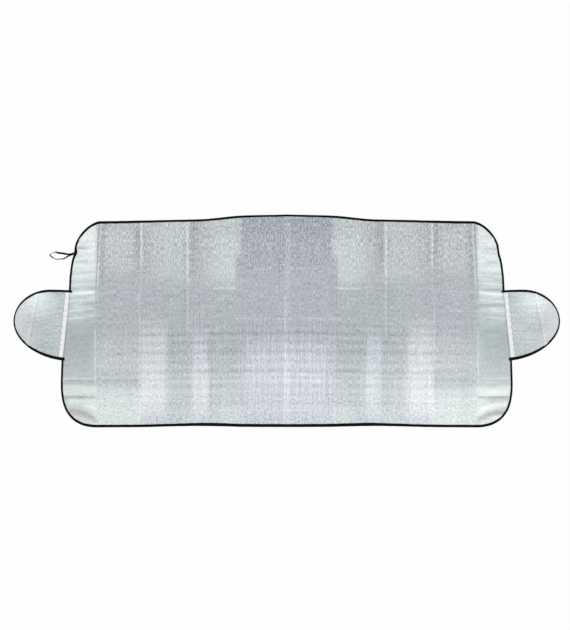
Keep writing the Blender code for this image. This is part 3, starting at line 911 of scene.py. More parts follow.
@dataclass
class PanelPlan:
    """Outline of the main panel, to the outer edge of its binding, and how it lies."""

    half_width: float
    half_height: float
    top_slope: float = 0.0186
    crown_rise: float = 0.0106
    crown_inner: float = 0.135
    crown_outer: float = 0.300
    bottom_bow: float = 0.0014
    bottom_arch: float = 0.0038
    arch_centre: float = 0.305
    arch_half_span: float = 0.205
    upper_corner_reach: float = 0.0856
    upper_corner_power: float = 1.6
    lower_corner_reach: float = 0.130
    lower_corner_y: float = -0.204
    lower_corner_power: float = 2.6
    setbacks: tuple = (
        (-0.204, 0.0), (-0.127, 0.0025), (0.098, 0.0265), (0.157, 0.0302),
        (0.207, 0.0385), (0.2225, 0.0430), (0.240, 0.0454),
    )
    inner_folds: tuple = (0.0, 0.161, 0.330, 0.486)
    end_strip: float = 0.116
    ridges: tuple = ((0, 0.0045, 0.125), (2, 0.0055, 0.125), (4, 0.0045, 0.056))
    ridge_rounding: float = 0.004
    edge_steps: int = 160
    side_steps: int = 120

    @property
    def folds(self) -> tuple[float, ...]:
        """The packing folds of one half, from the middle out."""
        return (*self.inner_folds, self.half_width - self.end_strip)

    @property
    def upper_corner_x(self) -> float:
        """Where the top edge ends and the upper corner starts."""
        return self.half_width - self.setbacks[-1][1] - self.upper_corner_reach

    @property
    def lower_corner_x(self) -> float:
        """Where the bottom edge ends and the lower corner starts."""
        return self.half_width - self.lower_corner_reach

    def top_edge(self, x: Array) -> Array:
        """Height of the top edge: a slight slope up to the middle, with a soft step at the crown."""
        corner = self.half_height - self.crown_rise - self.top_slope * self.upper_corner_x
        crown = smooth_step((self.crown_outer - x) / (self.crown_outer - self.crown_inner))
        return corner + self.top_slope * (self.upper_corner_x - x) + self.crown_rise * crown

    def bottom_edge(self, x: Array) -> Array:
        """Height of the bottom edge: slightly bowed, with one shallow cosine arch in each half."""
        bow = self.bottom_bow * (1 - (x / self.lower_corner_x) ** 2)
        reach = np.clip((x - self.arch_centre) / self.arch_half_span, -1, 1)
        return -self.half_height + bow + self.bottom_arch * np.cos(reach * math.pi / 2) ** 2

    def side_edge(self, y: Array) -> Array:
        """Half width of the panel at a height on its side."""
        return self.half_width - smooth_through(self.setbacks, y)

    def sides(self) -> tuple[Array, Array, Array]:
        """The right half of the outline, anticlockwise.

        Returns:
            Its lower, side and upper run, split in the middle of both corners.
        """
        corner_y, setback = self.setbacks[-1]
        along = np.linspace(0, self.lower_corner_x, self.edge_steps)
        lower = np.stack([along, self.bottom_edge(along)], axis=1)
        low_corner = rounded_corner(
            (self.lower_corner_x, -self.half_height), (self.half_width, self.lower_corner_y),
            self.lower_corner_power,
        )
        heights = np.linspace(self.lower_corner_y, corner_y, self.side_steps)
        side = np.stack([self.side_edge(heights), heights], axis=1)
        high_corner = rounded_corner(
            (self.upper_corner_x, float(self.top_edge(self.upper_corner_x))),
            (self.half_width - setback, corner_y), self.upper_corner_power,
        )[::-1]
        along = np.linspace(self.upper_corner_x, 0, self.edge_steps)
        top = np.stack([along, self.top_edge(along)], axis=1)
        split = len(low_corner) // 2
        return (
            np.concatenate([lower, low_corner[1:split + 1]]),
            np.concatenate([low_corner[split:], side[1:-1], high_corner[:split + 1]]),
            np.concatenate([high_corner[split:], top[1:]]),
        )

    def lift(self, x: Array) -> Array:
        """Height of the underside over the floor: low tents along three of the folds, with rounded tops."""
        total = 0 * x
        for fold, height, reach in self.ridges:
            away = np.sqrt((np.abs(x) - self.folds[fold]) ** 2 + self.ridge_rounding**2) - self.ridge_rounding
            total = total + height * np.clip(1 - away / reach, 0, 1)
        return total


@dataclass(frozen=True)
class Gleam:
    """A soft patch of one half of the panel with light painted into the film's colour: painted sheen where
    the lift is positive and painted shade where it is negative.

    It lies between two distances from the middle and between two heights, and changes smoothly to nothing
    over a soft distance at its inner side, its outer side, and its top and bottom. Lift is in screen tones.
    """

    inner: float
    outer: float
    soft_in: float
    soft_out: float
    low: float
    high: float
    soft_y: float
    lift: float

    def at(self, x: Array, y: Array) -> Array:
        """Its lift at plan points."""
        reach = np.abs(x)
        from_inner = smooth_step((reach - self.inner) / self.soft_in + 1)
        from_outer = smooth_step((self.outer - reach) / self.soft_out + 1)
        return self.lift * (from_inner * from_outer) * between(y, self.low, self.high, self.soft_y)


@dataclass(frozen=True)
class Crease:
    """A wrinkle that runs across one half of the panel.

    It is a bell of the distance from its line, which may slant and bend, and fades at both ends. Height is in
    metres, and shade, in screen tones, is painted shade where it is negative and a painted highlight where it
    is positive.
    """

    inner: float
    outer: float
    y: float
    slant: float
    half: float
    height: float
    shade: float
    bend: float = 0.0

    def strength(self, x: Array, y: Array) -> Array:
        """How fully a plan point is in it, from 0 to 1."""
        along = np.abs(x) - (self.inner + self.outer) / 2
        line = self.y + self.slant * along + self.bend * along**2
        soft = 0.25 * (self.outer - self.inner)
        return bell(y - line, 0.0, self.half) * between(np.abs(x), self.inner, self.outer, soft)


@dataclass
class MainPanel:
    """The laminated sheet of the cover, with its packing folds, gathered end strips and creases."""

    plan: PanelPlan
    stock: Stock
    columns: int = 316
    rows: int = 148
    edge_blend: float = 0.036
    fold_depth: float = 0.0008
    fold_half: float = 0.0050
    wrinkle_height: float = 0.0014
    wrinkle_pitch: float = 0.045
    wrinkle_group: float = 0.330
    wrinkle_faint: float = 0.2
    wrinkle_phase: float = 0.6
    crumple_height: float = 0.00045
    base_tone: float = 180.5
    # Patches of painted sheen (positive lift) and painted shade (negative lift) on the film.
    gleams: tuple[Gleam, ...] = (
        Gleam(0.000, 0.760, 0.05, 0.05, -0.400, -0.250, 0.200, 24.0),
        Gleam(0.420, 0.478, 0.04, 0.016, -0.255, -0.085, 0.120, 24.0),
        Gleam(0.270, 0.304, 0.018, 0.018, -0.260, -0.100, 0.090, 19.0),
        Gleam(0.500, 0.640, 0.030, 0.030, -0.345, -0.262, 0.020, 7.0),
        Gleam(0.000, 0.110, 0.02, 0.05, -0.292, -0.258, 0.020, 7.0),
        Gleam(0.170, 0.300, 0.02, 0.03, 0.292, 0.400, 0.030, -6.0),
        Gleam(0.000, 0.110, 0.09, 0.07, -0.190, -0.105, 0.080, 17.0),
        Gleam(0.500, 0.634, 0.03, 0.03, -0.130, -0.075, 0.060, 10.0),
        Gleam(0.500, 0.760, 0.04, 0.04, -0.400, -0.235, 0.035, 12.0),
        Gleam(0.160, 0.200, 0.02, 0.03, -0.400, -0.290, 0.030, 6.0),
        Gleam(0.000, 0.330, 0.03, 0.03, -0.400, -0.310, 0.030, 4.0),
        Gleam(0.640, 0.760, 0.02, 0.02, 0.200, 0.400, 0.250, 46.0),
        Gleam(0.640, 0.760, 0.02, 0.02, 0.115, 0.135, 0.022, -6.0),
        Gleam(0.690, 0.760, 0.03, 0.02, 0.015, 0.050, 0.030, 10.0),
        Gleam(0.640, 0.760, 0.02, 0.02, -0.180, -0.060, 0.060, -4.0),
        Gleam(0.640, 0.760, 0.02, 0.02, -0.243, -0.224, 0.022, 10.0),
        Gleam(0.680, 0.760, 0.015, 0.02, -0.285, -0.255, 0.012, -9.0),
        Gleam(0.640, 0.720, 0.02, 0.02, -0.280, -0.268, 0.015, 4.0),
        Gleam(0.335, 0.400, 0.02, 0.09, 0.170, 0.400, 0.080, 13.0),
        Gleam(0.158, 0.222, 0.014, 0.10, 0.235, 0.400, 0.050, 21.0),
        Gleam(0.177, 0.222, 0.014, 0.10, 0.150, 0.185, 0.050, 21.0),
        Gleam(0.175, 0.190, 0.012, 0.05, 0.120, 0.200, 0.060, 3.0),
        Gleam(0.000, 0.155, 0.02, 0.02, 0.310, 0.400, 0.060, -8.0),
        Gleam(0.000, 0.150, 0.02, 0.02, 0.200, 0.320, 0.040, -4.5),
        Gleam(0.530, 0.590, 0.04, 0.03, 0.190, 0.280, 0.060, 13.0),
    )
    # Wrinkles: each has a relief in the sheet, and painted shade (negative shade) or a painted highlight
    # (positive shade) along it.
    creases: tuple[Crease, ...] = (
        Crease(0.655, 0.705, 0.2400, 0.04, 0.012, -0.0008, -6.0),
        Crease(0.660, 0.705, 0.1920, 0.10, 0.012, -0.0006, -8.0),
        Crease(0.650, 0.720, 0.1570, -0.04, 0.012, -0.0006, -5.0),
        Crease(0.645, 0.735, 0.1050, -0.05, 0.010, -0.0006, -4.0),
        Crease(0.645, 0.735, 0.0905, -0.09, 0.010, 0.0008, 4.0),
        Crease(0.645, 0.735, 0.0672, -0.09, 0.009, 0.0006, 2.0),
        Crease(0.645, 0.735, 0.0530, 0.00, 0.012, -0.0005, -5.0),
        Crease(0.645, 0.735, 0.0365, -0.09, 0.009, 0.0006, 2.0),
        Crease(0.645, 0.735, 0.0100, -0.09, 0.009, 0.0006, 2.0),
        Crease(0.640, 0.745, -0.1960, 0.00, 0.008, 0.0005, 6.0),
        Crease(0.500, 0.745, -0.2100, 0.02, 0.012, -0.0006, -8.0),
        Crease(0.645, 0.740, -0.2530, 0.00, 0.014, -0.0008, -15.0),
        Crease(0.642, 0.722, -0.2780, 0.22, 0.014, 0.0014, 11.0, -2.0),
        Crease(0.640, 0.716, -0.3070, 0.29, 0.018, -0.0008, -35.0, -4.0),
        Crease(0.165, 0.255, 0.1080, -0.03, 0.010, 0.0005, 3.0),
    )
    warm_arc: Crease = Crease(0.645, 0.716, -0.3090, 0.31, 0.028, 0.0, 1.0, -4.0)
    # Level rungs: bands of painted shade (negative) and painted highlight (positive) across the lower half,
    # by height.
    rungs: tuple = (
        (0.0100, 0.0), (-0.0010, 2.5), (-0.0133, -4.0), (-0.0266, 4.0), (-0.0398, -7.0), (-0.0548, 5.5),
        (-0.0664, -5.5), (-0.0830, 4.5), (-0.1006, -7.0), (-0.1195, 5.0), (-0.1311, -3.5), (-0.1494, 5.5),
        (-0.1660, -9.0), (-0.1776, 5.0), (-0.1876, -5.5), (-0.1992, 6.0), (-0.2108, -6.5), (-0.2307, 4.0),
        (-0.2473, -2.5), (-0.2556, 3.5), (-0.2706, -4.5), (-0.2839, 3.0), (-0.3000, 2.0), (-0.3120, 0.0),
    )
    rung_slope: float = 0.016
    rung_level_at: float = 0.10
    rung_outer: float = 0.49
    rung_outer_loss: float = 0.4
    strip_start: float = 0.62
    strip_soft: float = 0.02
    crumples: tuple = ((31, 17, 0.4), (-23, 39, 1.9), (58, -12, 3.3), (12, 66, 5.1), (-71, 28, 0.9))
    long_points: int = 420
    short_points: int = 190
    edge_blur: int = 4

    def in_strip(self, x: Array) -> Array:
        """0 in the panels and 1 in the end strips."""
        return past(np.abs(x), self.strip_start, self.strip_soft)

    def relief(self, x: Array, y: Array) -> Array:
        """Height of the wrinkles over the plain lie of the sheet.

        Cross wrinkles in groups along the end strips, each a squared cosine of the height, the listed
        creases, and a faint crumple that is a sum of slow waves.

        Args:
            x: plan positions along the cover.
            y: plan positions across it.

        Returns:
            Heights in metres.
        """
        reach = np.abs(x)
        side = self.plan.side_edge(np.clip(y, self.plan.setbacks[0][0], self.plan.setbacks[-1][0]))
        strip = np.clip((reach - self.plan.folds[-1]) / (side - self.plan.folds[-1]), 0, 1)
        wave = (0.5 + 0.5 * np.cos(math.tau * y / self.wrinkle_pitch)) ** 2
        swell = 0.5 + 0.5 * np.cos(math.tau * y / self.wrinkle_group - self.wrinkle_phase)
        group = self.wrinkle_faint + (1 - self.wrinkle_faint) * swell
        total = self.wrinkle_height * wave * group * np.sin(math.pi * strip) ** 2
        total = total + sum(crease.height * crease.strength(x, y) for crease in self.creases)
        count = len(self.crumples)
        crumple = sum(np.sin(a * x + b * y + phase) / count for a, b, phase in self.crumples)
        return np.maximum(total + self.stock.sheet_rise + self.crumple_height * 0.5 * crumple, 0)

    def tone(self, x: Array, y: Array) -> Array:
        """Screen tone of the film, with light painted in: an even base, the gleams' painted sheen and shade,
        the creases' painted shade and highlights, and level rungs of painted shade and highlight in the lower
        half.
        """
        total = self.base_tone + sum(gleam.at(x, y) for gleam in self.gleams)
        total = total + sum(crease.shade * crease.strength(x, y) for crease in self.creases)
        reach = np.abs(x)
        place = y + self.rung_slope * (reach - self.rung_level_at)
        place = np.clip(place, self.rungs[-1][0], self.rungs[0][0])
        outer = 1 - self.rung_outer_loss * past(reach, self.rung_outer, self.strip_soft)
        fade = past(reach, self.strip_start, -self.strip_soft) * outer
        return total + fade * smooth_through(self.rungs[::-1], place)

    def rib(self, x: Array, y: Array) -> Array:
        """Strength of the upright ribs: clear at the top, and low down in the middle and glowing columns."""
        reach = np.abs(x)
        glow = 0.24 * past(reach, 0.17, -0.03) + 0.22 * between(reach, 0.252, 0.300, 0.02)
        glow = glow + 0.10 * between(reach, 0.410, 0.476, 0.02) + 0.04
        foot = 1 - 0.35 * past(y, -0.20, -0.06)
        head = 0.13 * past(y, 0.17, 0.08)
        return (1 - 0.7 * self.in_strip(x)) * (0.11 + head + glow * foot * past(y, 0.03, -0.06))

    def tint(self, x: Array, y: Array) -> Array:
        """0 where the film looks cool and 1 where greenish: in the end strips and the bands by the folds."""
        reach = np.abs(x)
        upper = past(y, 0.02, 0.2)
        lower = past(y, 0.0, -0.10)
        ends = past(reach, 0.60, 0.05) * (0.75 - 0.45 * upper)
        bands = bell(reach, 0.200, 0.054) * 0.74 + bell(reach, 0.355, 0.060) * 0.55
        corner = past(reach, 0.46, 0.06) * past(y, -0.18, -0.06) * 0.55
        middle = past(reach, 0.17, -0.02) * 0.22
        glow = between(reach, 0.406, 0.480, 0.02) * lower * 0.26
        glow = glow + between(reach, 0.262, 0.300, 0.012) * lower * 0.18
        return np.clip(np.maximum(ends, corner) + bands * (1 - 0.55 * upper) + 0.30 - middle - glow, 0, 1)

    def warmth(self, x: Array, y: Array) -> Array:
        """A warm share: none in the middle, most in the lower corner's arc, some at the top."""
        reach = np.abs(x)
        glow = 0.10 * between(reach, 0.410, 0.474, 0.02) * between(y, -0.34, -0.10, 0.05)
        ends = 0.10 * past(reach, 0.63, 0.02) * past(y, 0.15, 0.10)
        corner = 0.20 * past(reach, 0.48, 0.04) * past(y, -0.215, -0.03)
        top = 0.08 * past(reach, 0.15, 0.03) * past(y, 0.12, 0.10)
        return np.maximum(0.62 * self.warm_arc.strength(x, y), glow + ends + corner + top)

    def grain(self, x: Array, y: Array) -> Array:
        """Strength of the embossed grain: strongest at the top and low down, faint in the end strips."""
        body = 0.72 + 0.52 * past(y, 0.10, 0.17) + 0.18 * past(y, -0.03, -0.08)
        return body * (1 - 0.50 * self.in_strip(x))

    def streak(self, x: Array, y: Array) -> Array:
        """Strength of the cross streaks: strong in the upper end strips, faint across the panels' middle."""
        ends = self.in_strip(x)
        upper = between(y, 0.02, 0.24, 0.05)
        return ends * (0.18 + 0.44 * upper) + (1 - ends) * 0.27 * between(y, -0.18, 0.16, 0.06)

    def flat_area(self) -> float:
        """Area of the cut sheet."""
        return area_inside(self.loop()[0])

    def loop(self) -> tuple[Array, list[int]]:
        """The sheet's cut edge as a closed loop, and the numbers of its four corner points, anticlockwise."""
        lower, side, upper = self.plan.sides()
        parts = [
            evenly(np.concatenate([(lower * MIRROR)[::-1], lower[1:]]), self.long_points),
            evenly(side, self.short_points),
            evenly(np.concatenate([upper, (upper * MIRROR)[::-1][1:]]), self.long_points),
            evenly((side * MIRROR)[::-1], self.short_points),
        ]
        loop = np.concatenate([part[:-1] for part in parts])
        corners = list(np.cumsum([0] + [len(part) - 1 for part in parts[:-1]]))
        return loop - normals_of(loop, True, self.edge_blur) * self.stock.sheet_rise, corners

    def build(self, foil: FoilFinish) -> bpy.types.Object:
        """Make the sheet.

        Args:
            foil: its finish.

        Returns:
            The object.
        """
        loop, corners = self.loop()
        runs = [loop[a:b] for a, b in zip(corners, corners[1:])] + [loop[corners[-1]:]]
        edges = [np.concatenate([run, loop[[end]]]) for run, end in zip(runs, (*corners[1:], 0))]
        counts = (self.columns, self.rows, self.columns, self.rows)
        lower, right, upper, left = (evenly(edge, count) for edge, count in zip(edges, counts))
        plan = patch_between(lower, right, upper[::-1], left[::-1])
        x, y = plan[..., 0], plan[..., 1]
        u = np.linspace(0, 1, self.columns)[None]
        v = np.linspace(0, 1, self.rows)[:, None]
        from_sides = np.minimum(u, 1 - u) * 2 * self.plan.half_width
        from_ends = np.minimum(v, 1 - v) * 2 * self.plan.half_height
        inside = smooth_step(np.minimum(from_sides, from_ends) / self.edge_blend)
        bottom = self.plan.lift(x) + self.stock.sheet_rise * (1 - inside) + self.relief(x, y) * inside
        nearest = np.abs(np.abs(x)[..., None] - np.array(self.plan.folds)).min(axis=-1)
        groove = self.fold_depth * smooth_step(1 - nearest / self.fold_half) * inside
        top = bottom + self.stock.panel - groove
        looks = {
            "sheen": foil.level_of(self.tone(x, y)), "tint": self.tint(x, y), "grain": self.grain(x, y),
            "streak": self.streak(x, y), "warm": self.warmth(x, y), "rib": self.rib(x, y),
        }
        made = add_sheet("foil_panel", plan, bottom, top, foil.dress(), looks)
        return settle(made, "cover_panel")


@dataclass
class EdgeTape:
    """A tape folded over a sheet's edge and sewn down, with a slightly uneven inner edge."""

    stock: Stock
    slot: float
    leg_ripple: float = 0.00035
    edge_ripple: float = 0.00022
    stitch_inset: float = 0.0015
    stitch_dip: float = 0.00022
    fold_points: int = 7
    leg_shares: tuple[float, ...] = (1.0, 0.86, 0.60, 0.34)
    dip_shares: tuple[float, ...] = (0.6, 1.0, 0.0, -0.4)
    ripple_waves: tuple[int, ...] = (23, 41, 67, 109)
    normal_blur: int = 3

    @property
    def height(self) -> float:
        """Height of the folded tape."""
        return self.slot + 2 * self.stock.tape

    def ripples(self, along: Array, seed: float) -> Array:
        """A slow unevenness from -1 to 1: a sum of sines with a whole number of waves on the run."""
        turn = math.tau * along / along[-1]
        total = sum(np.sin(waves * turn + seed * waves) for waves in self.ripple_waves)
        return total / len(self.ripple_waves)

    def sections(self, path: Array, normals: Array, base: Array, leg: Array, slot: Array) -> Array:
        """Profiles of the folded tape along a path.

        Outside, the top leg runs out to a half round as high as the tape, and the bottom leg comes back under
        it. Inside, the same run lies one tape thickness in. The top leg dips at the stitches.

        Args:
            path: plan points of the outer edge.
            normals: their outward normals.
            base: the tape's lowest height at each.
            leg: how far both legs reach in.
            slot: the gap between the legs.

        Returns:
            Profiles as stations by points by x, y and z.
        """
        thick = self.stock.tape
        along = run_along(path)
        leg = (leg + self.leg_ripple * self.ripples(along, 1.3))[:, None]
        height = (slot + 2 * thick)[:, None]
        out = (self.edge_ripple * self.ripples(along, 4.1))[:, None]
        shares = np.array(self.leg_shares)[None]
        turn = np.linspace(math.pi / 2, -math.pi / 2, self.fold_points)[None]
        dip = self.stitch_dip * np.array(self.dip_shares)[None]
        outer_inset = [shares * leg, height / 2 * (1 - np.cos(turn)), (shares * leg)[:, ::-1]]
        outer_rise = [height - dip, height / 2 * (1 + np.sin(turn)), 0 * leg * shares]
        round_inset = thick + (height / 2 - thick) * (1 - np.cos(turn))
        round_rise = height / 2 + (height / 2 - thick) * np.sin(turn)
        inner_inset = [shares * leg, round_inset, (shares * leg)[:, ::-1]]
        inner_rise = [height - thick - dip, round_rise, thick + 0 * leg * shares]
        inset = np.concatenate([*outer_inset, *(part[:, ::-1] for part in inner_inset[::-1])], axis=1) - out
        rise = np.concatenate([*outer_rise, *(part[:, ::-1] for part in inner_rise[::-1])], axis=1)
        plan = path[:, None] - normals[:, None] * inset[..., None]
        return np.concatenate([plan, (base[:, None] + rise)[..., None]], axis=2)

    def stitch_rows(self, path: Array, normals: Array, base: Array, leg: Array, stitch: Stitch) -> list:
        """Rows of stitches near the inner edge of both legs.

        Args:
            path: plan points of the outer edge.
            normals: their outward normals.
            base: the tape's lowest height at each.
            leg: how far the legs reach in.
            stitch: the stitches' sizes.

        Returns:
            Vertices and faces of each row.
        """
        plan = path - normals * (leg - self.stitch_inset)[:, None]
        top = np.column_stack([plan, base + self.height - self.stitch_dip])
        under = np.column_stack([plan, base + stitch.radius])
        return [stitch.row(top, 1.0), stitch.row(under, 0.0)]


@dataclass
class PanelBinding(EdgeTape):
    """The tape round the whole panel: widest along the bottom, narrow on the sides and at the crown."""

    plan: PanelPlan | None = None
    step: float = 0.004
    top_leg: tuple = (
        (0.0, 0.0066), (0.10, 0.0070), (0.18, 0.0080), (0.37, 0.0074), (0.52, 0.0086), (0.75, 0.0088),
    )
    bottom_leg: tuple = (
        (0.0, 0.0102), (0.15, 0.0106), (0.262, 0.0112), (0.34, 0.0098), (0.42, 0.0090), (0.75, 0.0092),
    )
    side_leg: float = 0.0072
    loop_leg: float = 0.0040
    loop_y: float = 0.2280
    loop_half: float = 0.0190
    root_leg: float = 0.0036
    root_span: tuple = (-0.125, 0.095)
    root_soft: float = 0.007

    def leg(self, path: Array, normals: Array) -> Array:
        """How far the tape reaches in at each point.

        It follows its tables along the top and the bottom and is even on the sides, where the square of the
        normal's y leads over. It is wider at the elastic's ends, and narrower where a flap's root covers it.

        Args:
            path: plan points of the outer edge.
            normals: their outward normals.

        Returns:
            One reach for each point.
        """
        reach = np.abs(path[:, 0])
        top, bottom = (np.interp(reach, *np.array(knots).T) for knots in (self.top_leg, self.bottom_leg))
        level = np.where(normals[:, 1] > 0, top, bottom)
        leg = self.side_leg + (level - self.side_leg) * normals[:, 1] ** 2
        at_loop = self.loop_leg * bell(path[:, 1], self.loop_y, self.loop_half)
        leg = leg + np.where(path[:, 0] < 0, at_loop, 0.0)
        return leg - (self.side_leg - self.root_leg) * between(path[:, 1], *self.root_span, self.root_soft)

    def build(self, tape: bpy.types.Material, thread: bpy.types.Material, stitch: Stitch) -> list:
        """Make the tape and its stitching.

        Args:
            tape: the tape's material.
            thread: the thread's material.
            stitch: the stitches' sizes.

        Returns:
            The tape and the stitching.
        """
        lower, side, upper = self.plan.sides()
        right = np.concatenate([lower, side[1:], upper[1:]])
        loop = np.concatenate([right, (right * MIRROR)[::-1][1:]])
        count = round(run_along(loop)[-1] / self.step)
        path = evenly(loop, count + 1)[:-1]
        normals = normals_of(path, True, self.normal_blur)
        leg = self.leg(path, normals)
        base = self.plan.lift(path[:, 0])
        sections = self.sections(path, normals, base, leg, np.full(len(path), self.slot))
        made = settle(add_carried("panel_edge_tape", sections, True, tape), "panel_binding")
        rows = self.stitch_rows(*(closed_up(values) for values in (path, normals, base, leg)), stitch)
        return [made, add_stitching("panel_edge_stitching", rows, thread)]


# The side flaps


@dataclass
class FlapPlan:
    """Outline of the right flap, to its binding's outer edge, and how it lies. The left one mirrors it."""

    panel: PanelPlan
    stock: Stock
    reach: float = 0.1573
    tip_y: float = -0.002
    top_y: float = 0.1043
    top_drop: float = 0.0028
    crest_offset: float = 0.035
    upper_power: float = 2.0
    low_y: float = -0.133
    low_offset: float = -0.035
    lower_power: float = 1.93
    tail: float = 0.0075
    level_run: float = 0.028
    fall_run: float = 0.060
    root_low: tuple = (-0.127, 0.0025)
    root_top: tuple = (0.098, 0.0265)
    seam_overlap: float = 0.0045
    seam_lip: float = 0.0009
    fold_top: tuple = (0.0787, 0.0817)
    fold_low: tuple = (0.1068, -0.0643)
    fold_ridge: float = 0.0022
    fold_reach: float = 0.026

    def root_line(self, y: float | Array) -> float | Array:
        """Inboard edge of the joining tape, which runs straight along the flap's root."""
        top_x = self.panel.half_width - self.root_top[1] - self.seam_overlap
        low_x = self.panel.half_width - self.root_low[1] - self.seam_overlap
        share = (self.root_top[0] - y) / (self.root_top[0] - self.root_low[0])
        return top_x + share * (low_x - top_x)

    def root_direction(self) -> tuple[Array, Array]:
        """Unit vectors down the root line and across it, outboard."""
        low_y, top_y = self.root_low[0], self.root_top[0]
        run = np.array([self.root_line(low_y) - self.root_line(top_y), low_y - top_y])
        down = run / np.linalg.norm(run)
        return down, np.array([-down[1], down[0]])

    def raw_edge(self) -> tuple[float, float]:
        """Where the flap's sheet starts at the upper and at the lower binding."""
        _, across = self.root_direction()
        inset = (self.seam_lip + self.stock.clearance) / across[0]
        return self.root_line(self.top_y - self.top_drop) + inset, self.root_line(self.low_y) + inset

    def free_edge(self) -> Array:
        """The free edge, anticlockwise from its lower tail round the tip to its upper tail."""
        upper_x, lower_x = self.raw_edge()
        tip = (self.panel.half_width + self.reach, self.tip_y)
        low_end = (self.panel.half_width + self.low_offset, self.low_y)
        crest = (self.panel.half_width + self.crest_offset, self.top_y)
        lower = rounded_corner(low_end, tip, self.lower_power, 160)
        lower = lower[lower[:, 0] > lower_x - self.tail]
        upper = rounded_corner(crest, tip, self.upper_power, 160)[::-1]
        level = np.linspace(crest[0], upper_x - self.tail, 40)[1:]
        share = (crest[0] - level) / (crest[0] - level[-1])
        top = np.stack([level, crest[1] - self.top_drop * share**2], axis=1)
        return np.concatenate([lower, upper[1:], top])

    def lift(self, points: Array) -> Array:
        """Height of the flap's binding over the floor: level over the panel's edge, then a smooth fall."""
        _, across = self.root_direction()
        corner = np.array([self.raw_edge()[0], self.top_y - self.top_drop])
        outboard = (points - corner) @ across
        return self.stock.flap_root_lift * (1 - past(outboard, self.level_run, self.fall_run))

    def fold_away(self, points: Array) -> Array:
        """Signed distance from the slanted fold, outboard positive."""
        start = np.array(self.fold_top) + (self.panel.half_width, 0.0)
        run = np.array(self.fold_low) - np.array(self.fold_top)
        along = run / np.linalg.norm(run)
        return (points - start) @ np.array([-along[1], along[0]])


